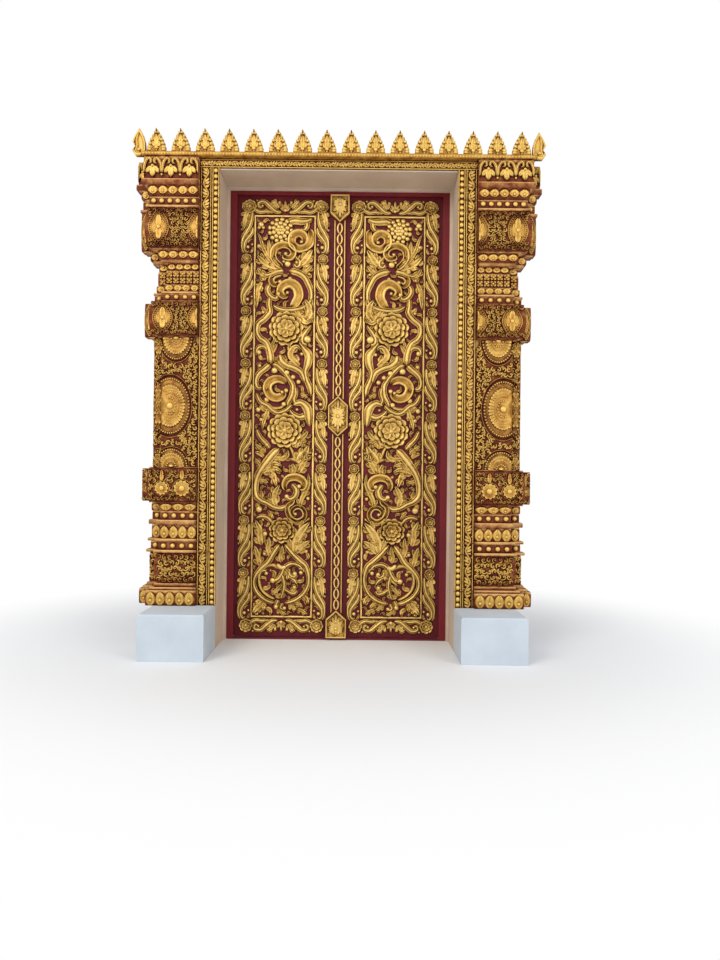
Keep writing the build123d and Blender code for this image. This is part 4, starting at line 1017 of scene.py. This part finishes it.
def crosses(carving, x0, x1, foot, top, main):
    """Two rows of four-petalled flowers."""
    across = max(1, round((x1 - x0) / 30))
    for j in range(2):
        for k in range(across):
            centre = (mix(x0, x1, (k + 0.5) / across), foot + (top - foot) * (0.27 + 0.46 * j))
            for m in range(4):
                carving.petal(centre, pi / 2 * m + pi / 4, 2, 14, 11, 4, 7)
            carving.dome(centre, 4, 3, 6, rings=3, around=8)


def medallions(carving, x0, x1, foot, top, main):
    """Two pointed medallions, the second one half hidden, in a field of curls; on the pier a single narrow one."""
    middle, high = (foot + top) / 2, (top - foot) * 0.94
    with carving.toned(RELIEF_SHADE_HEIGHT):
        for x, wide in ((x0 + 50, 42), (x1 + 4, 46)) if main else (((x0 + x1) / 2, 22),):
            pointed_medallion(carving, x, middle, wide, high)
    if main:
        def covered(p):
            """Whether a place lies under one of the two medallions."""
            share = max(1 - (2 * (p[1] - middle) / high) ** 2, 0) ** 0.7
            return abs(p[0] - x0 - 50) < 48 * share or abs(x1 + 4 - p[0]) < 50 * share
        filler(carving, x0 + 3, x1 - 2, foot + 3, top - 3, 19, covered)


def rosettes(carving, x0, x1, foot, top, main):
    """The tall shaft: a large rosette in the middle and parts of two more at its ends, in a field of curls."""
    middle, level = (x0 + x1) / 2, mix(foot, top, 0.47)
    if main:
        spots = ((x0 + 62, top, 77, 108, (180, 360)), (x0 + 38, level, 94, 135, (-120, 120)),
                 (x0 + 46, foot, 77, 86, (0, 180)))
    else:
        spots = ((middle, top, 24, 100, (180, 360)), (middle, level, 22, 118, (0, 360)),
                 (middle, foot, 24, 80, (0, 180)))
    with carving.toned(RELIEF_SHADE_HEIGHT):
        for spot in spots:
            ring_rosette(carving, *spot, foot, top)
    filler(carving, x0 + 2, x1 - 2, foot + 4, top - 4, 22,
           lambda p: any(((p[0] - x) / (wide + 6)) ** 2 + ((p[1] - z) / (tall + 6)) ** 2 < 1
                         for x, z, wide, tall, _ in spots))


def flowers(carving, x0, x1, foot, top, main):
    """Round flowers with a leaf over each, in a field of curls."""
    middle, tall = foot + (top - foot) * 0.4, top - foot
    spots = ((x0 + 58, 32), (x0 + 144, 38)) if main else (((x0 + x1) / 2, 20),)
    for x, reach in spots:
        round_rosette(carving, x, middle, reach)
        carving.leaf([(x, middle + reach), (x, foot + tall * 0.75), (x, top - 6)], reach * 0.7, 8, 2)
    filler(carving, x0 + 2, x1 - 2, foot + 4, top - 4, 18,
           lambda p: any(hypot(p[0] - x, p[1] - middle) < reach + 6 or (abs(p[0] - x) < 12 and p[1] > middle)
                         for x, reach in spots))


def curls(carving, x0, x1, foot, top, main):
    """A plain field of curls."""
    filler(carving, x0 + 3, x1 - 3, foot + 5, top - 5, 24, lambda p: False)


# The maker of each ornament. All take the same values, and those that look alike on front and pier ignore main.
ORNAMENTS = {"foot_petals": petal_row(4, 38), "broad_petals": petal_row(4, 46), "narrow_petals": petal_row(2, 36),
             "hanging_petals": petal_row(2, 36, hang=True), "balls": balls, "curls": curls, "flowers": flowers,
             "rosettes": rosettes, "medallions": medallions, "crosses": crosses, "arcade": arcade}


def fill_course(carving, row, x0, x1, ground, main):
    """The ornament of one course between x0 and x1. Main says whether it is the pilaster's own front face."""
    foot, top, _, swell, _, ornament = row
    if ornament in ORNAMENTS:
        carving.ground = ground
        carving.bulge = (foot, top, swell * FRONT_SHARE if main else 0.0)
        carving.limits = (x0 + 1, x1 - 1, foot + 0.5, top - 0.5)
        ORNAMENTS[ornament](carving, x0, x1, foot, top, main)


def pilaster_ornament():
    """The gilt relief on the left pilaster's front and on the pier beside it."""
    carving = Carving(FRONT, crest=7.0)
    for row in ROWS:
        side = -SHAFT_X - row[2]
        fill_course(carving, row, side, -INNER_X, FRONT + FRONT_SHARE * row[2], True)
        fill_course(carving, row, side - PIER_STEP, side, PIER_FRONT, False)
    return carving


def strip_bed(carving, edges, crest, fillets, width):
    """The flat bed of a narrow strip between two edges, and a thin rounded fillet along each side of it."""
    ends = ((PLINTH_TOP, 0), (PLINTH_TOP, BED), (STRIPS_TOP, BED), (STRIPS_TOP, 0))
    with carving.toned(crest):
        carving.grid([[(x, z, h) for z, h in ends] for x in edges])
    for x in fillets:
        carving.strand([(x, PLINTH_TOP), (x, STRIPS_TOP)], width, 4, ROUND, base=BED, spacing=120)


def pearl_strip():
    """The strip of round pearls between two thin fillets, beside the doorway."""
    carving = Carving(FRONT, crest=13.0)
    edge, middle, outer = 510, 525, 592
    strip_bed(carving, edges=(-edge, -STRIP_X), crest=40.0, fillets=(-512.6, -537.4), width=5)
    with carving.toned(40.0):
        carving.grid([[(-edge, PLINTH_TOP, h), (-edge, STRIPS_TOP, h)] for h in (0, BED)])
    count = round((STRIPS_TOP - PLINTH_TOP) / 24.6)
    for k in range(count):
        carving.dome((-middle, mix(PLINTH_TOP, STRIPS_TOP, (k + 0.5) / count)), 9.6, 7.0, BED, rings=5, around=12,
                     oval=1.12)
    # The bars across the strip at the ledges are coloured as if nearly flat, dark like the ground: painted shade.
    with carving.toned(60.0):
        for low, high, _, _, _, ornament in ROWS:
            if ornament == "ledge" and high < STRIPS_TOP:
                level = (low + high) / 2
                carving.strand([(-edge - 0.5, level), (-outer, level)], min(high - low, 9), 6, ROUND, base=4.5,
                               spacing=60)
    return carving


def running_vine(carving, place, length, bends, sway, leaves, width, root, slant, end=0.0, bead=False):
    """A stem that sways from side to side, with leaves (rise, reach) and perhaps a bead in each bend.

    Place turns (along, across) into a point, root is where the leaves start across, slant how far they lean, and
    end is where both ends of the stem lie across.
    """
    pitch = length / bends
    wave = []
    for k in range(bends):
        turn = -1 if k % 2 else 1
        middle = (k + 0.5) * pitch
        wave.append(place(middle, -turn * sway))
        for rise, reach in leaves:
            spot = middle + rise * pitch
            carving.leaf([place(middle + 0.7 * rise * pitch - slant, -turn * root), place(spot - 1, turn * (root - 1)),
                          place(spot + slant + 1, turn * reach)], width, 6, 2, base=5.5, spacing=5)
        if bead:
            carving.dome(place(middle + 0.36 * pitch, -turn * 15), 3.2, 4, 7, rings=2, around=7)
    carving.strand([place(2, end), *wave, place(length - 2, end)], 7, 5.5, REED, base=BED, spacing=5)


def vine_strip():
    """The narrow strip of running vine between thin fillets."""
    carving = Carving(FRONT, crest=12.0)
    middle = -566.3
    strip_bed(carving, edges=(-589, -543), crest=34.0, fillets=(-546, -586.5), width=4)
    running_vine(carving, lambda rise, across: (middle + across, PLINTH_TOP + rise), STRIPS_TOP - PLINTH_TOP,
                 bends=42, sway=10, leaves=((-0.3, 13), (0.02, 16), (0.32, 14)), width=13, root=6, slant=5, bead=True)
    return carving


def lintel_vine():
    """The carved band over the doorway: leaves along a wave between two fillets."""
    carving = Carving(FRONT, crest=12.0)
    half, middle = 592, 2071.5
    with carving.toned(34.0):
        carving.grid([[(x, z, h) for z, h in ((STRIPS_TOP, 0), (STRIPS_TOP, BED), (PILASTER_TOP, BED))]
                      for x in (-half, half)])
    for z in (STRIPS_TOP + 3, PILASTER_TOP - 3):
        carving.strand([(-half, z), (half, z)], 4.5, 5, ROUND, base=BED, spacing=120)
    running_vine(carving, lambda reach, across: (reach - half, middle - across), 2 * half, bends=36, sway=8,
                 leaves=((-0.32, 10), (0.0, 13), (0.34, 11)), width=12, root=4, slant=4, end=0.5)
    return carving


def cornice_beading():
    """The cornice strip: a rounded nose with a fine row of beads."""
    carving = Carving(FRONT, crest=95.0)
    steps = ((0, -89), (0, 36), (2, 40), (6, 43), (12, 43.6), (17, 42.5), (18, 40), (18, -89), (0, -89))
    section = [(PILASTER_TOP + up, out) for up, out in steps]
    carving.grid([[(x, z, h) for z, h in section] for x in (-CORNICE_X, CORNICE_X)])
    for side in (-1, 1):
        carving.cap([(side * CORNICE_X, z, h) for z, h in section[::-side]])
    with carving.toned(44.0):
        for k in range(128):
            carving.dome((-CORNICE_X + 7 + k * 13, 2098.5), 4.6, 3.0, 40.8, rings=3, around=8, oval=1.1)
    return carving


def flame_edge(half, tall, t):
    """A place on the right edge of a flame, from its foot at 0 to its tip at 1."""
    return half * (1 - t ** 1.75) * mix(0.95, 1.0, ease(t / 0.12)), tall * (0.02 + 0.98 * t)


def flame(carving, x, foot, half, tall, thick):
    """One antefix: a broad flame with a curled edge, a sunk field, and a leaf that rises from a bead."""
    steps = [k / 10 for k in range(11)]
    right = [flame_edge(half * 0.8, tall * 0.97, t) for t in steps]
    edge = [(right[0][0], 0.0)] + right + [(-u, v) for u, v in right[-2::-1]] + [(-right[0][0], 0.0)]
    rows = []
    for share, h in ((1.0, 0), (1.0, thick * 0.62), (0.96, thick * 0.72), (0.84, thick * 0.6), (0.3, thick * 0.6),
                     (0.0, thick * 0.62)):
        rows.append([(x + u * share, foot + mix(tall * 0.3, v, share), h) for u, v in edge])
    carving.grid(rows, closed=True)
    carving.cap(rows[0][::-1])
    for side in (-1, 1):
        for t in (0.04, 0.2, 0.36, 0.52, 0.68, 0.83):
            u, v = flame_edge(half, tall, t)
            bead = half * (0.25 - 0.1 * t)
            spot = (x + side * (u - bead), foot + max(v, bead))
            carving.dome(spot, bead, thick * 0.3, thick * 0.62, rings=3, around=9)
            carving.leaf([(x + side * (u * 0.4), foot + v * 0.9 + 2), (x + side * (u * 0.66), foot + v + 1), spot],
                         bead * 1.5, thick * 0.3, 1, base=thick * 0.52, notch=0.1)
    at = placer(x, foot, half, tall)
    with carving.toned(11.0):
        carving.leaf([at(0, 0.72), at(0, 0.86), at(0, 1)], half * 0.34, thick * 0.9, 1, notch=0.1)
    carving.acanthus([at(0, 0.2), at(0, 0.45), at(0, 0.76)], half * 0.8, thick * 0.36, 2, base=thick * 0.58)
    carving.dome(at(0, 0.19), half * 0.2, thick * 0.2, thick * 0.78)
    carving.dome(at(0, 0.07), half * 0.12, thick * 0.16, thick * 0.7, around=9)


FLAMES, FLAME_HALF, FLAME_TALL, FLAME_THICK = 16, 42, 100, 25.8
END_CURL = ((-14, 0), (0.3, 0), (0.3, -16), (29, -16), (43, 4), (31, 22), (43, 42), (33, 68), (13, 100), (-2, 72),
            (-11, 42))


def antefix_row():
    """The row of flames on the cornice and the curled leaf at each end of it."""
    carving = Carving(232.0, crest=26.0)
    pitch = (2 * CORNICE_X - 2.8 * FLAME_HALF) / (FLAMES - 1)
    for k in range(FLAMES):
        flame(carving, (k - (FLAMES - 1) / 2) * pitch, CORNICE_TOP, FLAME_HALF, FLAME_TALL, FLAME_THICK)
    for side in (-1, 1):
        def at(u, w):
            """A place out from the cornice's end and up from its top."""
            return (side * (CORNICE_X + u), CORNICE_TOP + w)

        outline, middle = [at(*corner) for corner in END_CURL], at(16, 34)
        rows = []
        for share, h in ((1.0, 0), (1.0, 19), (0.96, 22), (0.88, 23.5), (0.76, 21), (0.7, 17), (0.4, 18), (0.0, 18)):
            rows.append([(mix(middle[0], x, share), mix(middle[1], z, share), h) for x, z in outline])
        carving.grid([row[::side] for row in rows], closed=True)
        carving.cap(rows[0][::-side])
        carving.strand([at(4, -4), at(26, 2), at(22, 30), at(24, 56), at(12, 90)], (8, 12, 12, 10, 5), 8, REED,
                       base=16, taper=(0.1, 0.2))
        carving.dome(at(16, 10), 8, 6, 18, around=9)
    return carving


# Which finish each kept frame node has

KEPT_FINISHES = {
    "red_lacquer": ("left_leaf_board", "right_leaf_board", "astragal_strip"),
    "red_frame_lacquer": ("left_jamb", "right_jamb", "head_rail", "threshold"),
    "cream_plaster": ("left_reveal", "right_reveal", "soffit"),
    "white_paint": ("left_plinth", "right_plinth"),
    "oiled_iron": ("top_bolt", "top_bolt_guides", "top_bolt_keeper", "latch_bolt", "latch_bolt_guides",
                   "latch_bolt_keeper", "left_jamb_hinge_plates", "right_jamb_hinge_plates",
                   "left_leaf_hinge_plates", "right_leaf_hinge_plates"),
}


# Colours (crests with painted highlight, middle, recesses with painted shade, ground), share of the metal, added
# roughness, least, hollows (strength of the painted occlusion shade), sheen
GILDINGS = {
    "gold_on_wood": (((0.78, 0.535, 0.17), (0.45, 0.235, 0.036), (0.085, 0.027, 0.005), (0.03, 0.007, 0.004)),
                     1.0, 0.0, 0.45, 1.35, 0.22),
    "gold_on_stucco": (((0.76, 0.5, 0.125), (0.42, 0.19, 0.03), (0.115, 0.025, 0.008), (0.055, 0.009, 0.006)),
                       0.7, 0.06, 0.22, 0.9, 0.22),
    "red_stucco_ground": (((0.68, 0.39, 0.13), (0.19, 0.042, 0.014), (0.095, 0.014, 0.007), (0.035, 0.006, 0.004)),
                          0.4, 0.16, 0.45, 1.35, 0.12),
}

# Colour, colour of its clouds, roughness, stretch of the clouds, their scale, bump, clear coat, sheen
EVEN, UPRIGHT = (1.0, 1.0, 1.0), (3.0, 3.0, 0.35)
COATS = {
    "red_lacquer": ((0.145, 0.008, 0.012), (0.09, 0.005, 0.009), 0.55, UPRIGHT, 9.0, 0.12, 0.05, 0.25),
    "red_frame_lacquer": ((0.2, 0.012, 0.017), (0.135, 0.008, 0.013), 0.46, UPRIGHT, 9.0, 0.12, 0.05, 0.3),
    "cream_plaster": ((0.65, 0.52, 0.4), (0.53, 0.415, 0.31), 0.85, EVEN, 5.0, 0.2, 0.0, 0.5),
    "white_paint": ((0.58, 0.64, 0.7), (0.5, 0.56, 0.62), 0.8, EVEN, 6.0, 0.2, 0.0, 0.5),
    "oiled_iron": ((0.09, 0.085, 0.08), (0.05, 0.045, 0.042), 0.42, EVEN, 40.0, 0.1, 0.0, 0.5),
}


def finish_named(name, settings):
    """The finish of that name, made the first time that it is asked for."""
    made = bpy.data.materials.get(name)
    if made:
        return made
    if name in GILDINGS:
        colours, metal, matter, *rest = GILDINGS[name]
        return gold_finish(name, colours, settings.gilding_metal * metal, settings.gilding_roughness + matter, *rest)
    return coat_finish(name, *COATS[name])


class DOOR_PG_finishes(bpy.types.PropertyGroup):
    """How the gilding shines."""
    gilding_metal: bpy.props.FloatProperty(
        name="Gilding metal", description="How metallic the gold leaf is", default=0.62, min=0.0, max=1.0,
        subtype="FACTOR")
    gilding_roughness: bpy.props.FloatProperty(
        name="Gilding roughness", description="How matt the gold leaf is", default=0.4, min=0.05, max=0.9,
        subtype="FACTOR")


class DOOR_PG_stage(bpy.types.PropertyGroup):
    """The light, the floor and the camera."""
    key_power: bpy.props.FloatProperty(
        name="Key light", description="Power of the large soft light at the upper left", default=132.0, min=0.0,
        unit="POWER")
    fill_power: bpy.props.FloatProperty(
        name="Fill light", description="Power of the soft light at the right", default=72.0, min=0.0, unit="POWER")
    sky: bpy.props.FloatProperty(
        name="Surrounding light", description="Strength of the even light from all round", default=0.55, min=0.0)
    camera_place: bpy.props.FloatVectorProperty(
        name="Camera place", description="Where the camera stands", default=(0.103, -3.424, 0.727), unit="LENGTH",
        subtype="TRANSLATION")
    camera_lens: bpy.props.FloatProperty(
        name="Focal length", description="The camera's focal length", default=28.1, min=10.0, unit="CAMERA")
    camera_roll: bpy.props.FloatProperty(
        name="Roll", description="How far the camera leans to the left", default=radians(0.6), unit="ROTATION",
        subtype="ANGLE")


def both_sides(carving, name, finish, slot, bodies, node):
    """The left piece as built and the right one as its mirror image, each on its body, for its own node."""
    for side, body in zip(("left", "right"), bodies):
        piece = carving.mesh(f"{side}_{name}", mirror=side == "right")
        dress(piece, finish, body, slot, f"{side}_{node}")


LEAVES = ("left_leaf", "right_leaf")
FIXED = ("surround", "surround")


class DOOR_OT_panels(bpy.types.Operator):
    """Builds the scrolling vine with its flowers on both leaves."""
    bl_idname = "door.panels"
    bl_label = "Inner panels"

    def execute(self, context):
        finish = finish_named("gold_on_wood", context.scene.door_finishes)
        both_sides(panel_carving(), "scroll_vine", finish, "gilt_wood", LEAVES, "scroll_carving")
        return {"FINISHED"}


class DOOR_OT_borders(bpy.types.Operator):
    """Builds the bands of foliage and the gilt fillets round the inner panels."""
    bl_idname = "door.borders"
    bl_label = "Bands and fillets"

    def execute(self, context):
        finish = finish_named("gold_on_wood", context.scene.door_finishes)
        both_sides(border_carving(), "foliage_band", finish, "gilt_wood", LEAVES, "border_carving")
        both_sides(fillet_frame(), "gilt_fillet", finish, "gilt_wood", LEAVES, "panel_fillets")
        return {"FINISHED"}


class DOOR_OT_astragal(bpy.types.Operator):
    """Builds the chain, the edge fillets, the tags and the boss on the strip over the meeting line."""
    bl_idname = "door.astragal"
    bl_label = "Astragal"

    def execute(self, context):
        finish = finish_named("gold_on_wood", context.scene.door_finishes)
        dress(astragal_tags().mesh("astragal_tags"), finish, "left_leaf", "gilt_wood", "astragal_top_tag",
              "astragal_middle_boss", "astragal_bottom_tag")
        dress(astragal_chain().mesh("astragal_links"), finish, "left_leaf", "gilt_wood", "astragal_chain",
              "astragal_edge_fillets")
        return {"FINISHED"}


class DOOR_OT_pilasters(bpy.types.Operator):
    """Builds the stepped pilasters and the gilt relief on them."""
    bl_idname = "door.pilasters"
    bl_label = "Pilasters"

    def execute(self, context):
        settings = context.scene.door_finishes
        both_sides(pilaster_body(), "stepped_pilaster", finish_named("red_stucco_ground", settings), "red_stucco",
                   FIXED, "pilaster")
        both_sides(pilaster_ornament(), "pilaster_ornament", finish_named("gold_on_stucco", settings), "gilt_stucco",
                   FIXED, "pilaster_relief")
        return {"FINISHED"}


class DOOR_OT_strips(bpy.types.Operator):
    """Builds the pearls and the vine beside the doorway and the carved band over it."""
    bl_idname = "door.strips"
    bl_label = "Strips and lintel band"

    def execute(self, context):
        finish = finish_named("gold_on_stucco", context.scene.door_finishes)
        both_sides(pearl_strip(), "pearls", finish, "gilt_stucco", FIXED, "bead_strip")
        both_sides(vine_strip(), "running_vine", finish, "gilt_stucco", FIXED, "vine_strip")
        dress(lintel_vine().mesh("lintel_vine"), finish, "surround", "gilt_stucco", "lintel_band")
        return {"FINISHED"}


class DOOR_OT_cornice(bpy.types.Operator):
    """Builds the cornice strip and the row of flames on it."""
    bl_idname = "door.cornice"
    bl_label = "Cornice and antefixes"

    def execute(self, context):
        finish = finish_named("gold_on_stucco", context.scene.door_finishes)
        dress(cornice_beading().mesh("beaded_cornice"), finish, "surround", "gilt_stucco", "cornice")
        dress(antefix_row().mesh("flame_row"), finish, "surround", "gilt_stucco", "antefixes")
        return {"FINISHED"}


class DOOR_OT_plain_pieces(bpy.types.Operator):
    """Gives the boards, the timber frame, the plaster, the plinths and the ironwork their finishes."""
    bl_idname = "door.plain_pieces"
    bl_label = "Plain pieces"

    def execute(self, context):
        for name, nodes in KEPT_FINISHES.items():
            finish = finish_named(name, context.scene.door_finishes)
            for node in nodes:
                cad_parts[node].data.materials.clear()
                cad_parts[node].data.materials.append(finish)
        return {"FINISHED"}


def soft_light(name, place, target, size, power, colour):
    """A large square lamp that points at a target."""
    data = bpy.data.lights.new(name, "AREA")
    data.shape, data.size, data.size_y = "RECTANGLE", size, size
    data.energy, data.color = power, colour
    light = bpy.data.objects.new(name, data)
    light.location = place
    light.rotation_euler = (Vector(target) - Vector(place)).to_track_quat("-Z", "Y").to_euler()
    bpy.context.scene.collection.objects.link(light)
    return light


def background_rays(add):
    """1 for what the camera sees, directly, in metal or through glass, and 0 for the light on the object."""
    path = add("ShaderNodeLightPath")
    seen = path.outputs["Is Camera Ray"]
    for other in ("Is Glossy Ray", "Is Transmission Ray"):
        seen = add("ShaderNodeMath", {0: seen, 1: path.outputs[other]}, operation="MAXIMUM").outputs[0]
    return seen


def floor_finish():
    """Matt pale floor that turns plain white away from the door, for the camera alone."""
    material, tree, shader, add = nodes_of("pale_floor")
    shader.inputs["Base Color"].default_value = (0.8, 0.8, 0.8, 1.0)
    shader.inputs["Roughness"].default_value = 0.9
    place = add("ShaderNodeTexCoord").outputs["Object"]
    away = add("ShaderNodeVectorMath", {0: place}, operation="LENGTH")
    share = add("ShaderNodeMapRange", {"Value": away.outputs["Value"], "From Min": 0.9, "From Max": 2.2},
                interpolation_type="SMOOTHSTEP")
    factor = add("ShaderNodeMath", {0: share.outputs["Result"], 1: background_rays(add)}, operation="MULTIPLY")
    white = add("ShaderNodeEmission")
    blend = add("ShaderNodeMixShader", {0: factor.outputs[0], 1: shader.outputs[0], 2: white.outputs[0]})
    tree.links.new(blend.outputs[0], tree.nodes["Material Output"].inputs["Surface"])
    return material


def studio_floor():
    """A plain pale floor that turns up into a backdrop far behind the door."""
    data = bpy.data.meshes.new("studio_floor")
    reach, flat, bend = 9.0, 2.2, 1.2
    profile = [(-reach, 0.0), (flat, 0.0)]
    profile += [(flat + bend * sin(radians(a)), bend - bend * cos(radians(a))) for a in range(10, 91, 10)]
    profile.append((flat + bend, reach))
    points = [(x, y, z - 0.0005) for y, z in profile for x in (-reach, reach)]
    data.from_pydata(points, [], [(2 * k, 2 * k + 1, 2 * k + 3, 2 * k + 2) for k in range(len(profile) - 1)])
    data.polygons.foreach_set("use_smooth", [True] * len(data.polygons))
    floor = bpy.data.objects.new("studio_floor", data)
    bpy.context.scene.collection.objects.link(floor)
    floor.data.materials.append(floor_finish())
    return floor


def surrounding_light(strength):
    """Even light from all round, stronger from above, before a plain white background."""
    world = bpy.data.worlds.new("studio")
    bpy.context.scene.world = world
    world.use_nodes = True
    tree = world.node_tree
    add = adder(tree)
    height = add("ShaderNodeSeparateXYZ", {0: add("ShaderNodeTexCoord").outputs["Generated"]}).outputs["Z"]
    ground = tree.nodes["Background"]
    ground.inputs["Strength"].default_value = strength
    tree.links.new(ramp(add, height, ((0.0, (0.3, 0.29, 0.28)), (0.6, (1.5, 1.55, 1.62)))), ground.inputs["Color"])
    white = add("ShaderNodeBackground", {"Color": (1.0, 1.0, 1.0, 1.0)})
    blend = add("ShaderNodeMixShader", {0: background_rays(add), 1: ground.outputs[0], 2: white.outputs[0]})
    tree.links.new(blend.outputs[0], tree.nodes["World Output"].inputs["Surface"])


class DOOR_OT_stage(bpy.types.Operator):
    """Sets up the floor, the soft lights and the camera."""
    bl_idname = "door.stage"
    bl_label = "Floor, lights and camera"

    def execute(self, context):
        settings = context.scene.door_stage
        floor = studio_floor()
        key = soft_light("key_light", (-2.6, -4.2, 3.4), (0, -0.2, 1.1), 2.6, settings.key_power,
                         (1.0, 0.98, 0.95))
        fill = soft_light("fill_light", (3.2, -4.0, 2.0), (0, -0.2, 1.0), 2.4, settings.fill_power,
                          (0.94, 0.97, 1.0))
        surrounding_light(settings.sky)
        data = bpy.data.cameras.new("photo_camera")
        data.lens, data.sensor_width = settings.camera_lens, 36.0
        camera = bpy.data.objects.new("photo_camera", data)
        camera.location = settings.camera_place
        camera.rotation_euler = (radians(90), -settings.camera_roll, 0)
        context.scene.collection.objects.link(camera)
        context.scene.camera = camera
        context.scene.view_settings.view_transform = "Standard"
        return {"FINISHED"}


STEPS = (DOOR_OT_panels, DOOR_OT_borders, DOOR_OT_astragal, DOOR_OT_pilasters, DOOR_OT_strips, DOOR_OT_cornice,
         DOOR_OT_plain_pieces, DOOR_OT_stage)


class DOOR_PT_sidebar(bpy.types.Panel):
    """Lists the steps and the settings of the carved door."""
    bl_idname = "DOOR_PT_sidebar"
    bl_label = "Carved door"
    bl_space_type = "VIEW_3D"
    bl_region_type = "UI"
    bl_category = "Carved door"

    def draw(self, context):
        for group in (context.scene.door_finishes, context.scene.door_stage):
            for key in group.bl_rna.properties.keys():
                if key not in ("rna_type", "name"):
                    self.layout.prop(group, key)
        for step in STEPS:
            self.layout.operator(step.bl_idname)


CLASSES = (DOOR_PG_finishes, DOOR_PG_stage, *STEPS, DOOR_PT_sidebar)


def register():
    """Adds the steps, the settings and the panel to Blender."""
    for item in CLASSES:
        bpy.utils.register_class(item)
    bpy.types.Scene.door_finishes = bpy.props.PointerProperty(type=DOOR_PG_finishes)
    bpy.types.Scene.door_stage = bpy.props.PointerProperty(type=DOOR_PG_stage)


def unregister():
    """Takes them out again."""
    del bpy.types.Scene.door_stage
    del bpy.types.Scene.door_finishes
    for item in reversed(CLASSES):
        bpy.utils.unregister_class(item)


def main():
    """Builds the whole door."""
    register()
    bpy.ops.door.panels()
    bpy.ops.door.borders()
    bpy.ops.door.astragal()
    bpy.ops.door.pilasters()
    bpy.ops.door.strips()
    bpy.ops.door.cornice()
    bpy.ops.door.plain_pieces()
    bpy.ops.door.stage()
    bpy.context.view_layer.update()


if __name__ == "__main__":
    main()
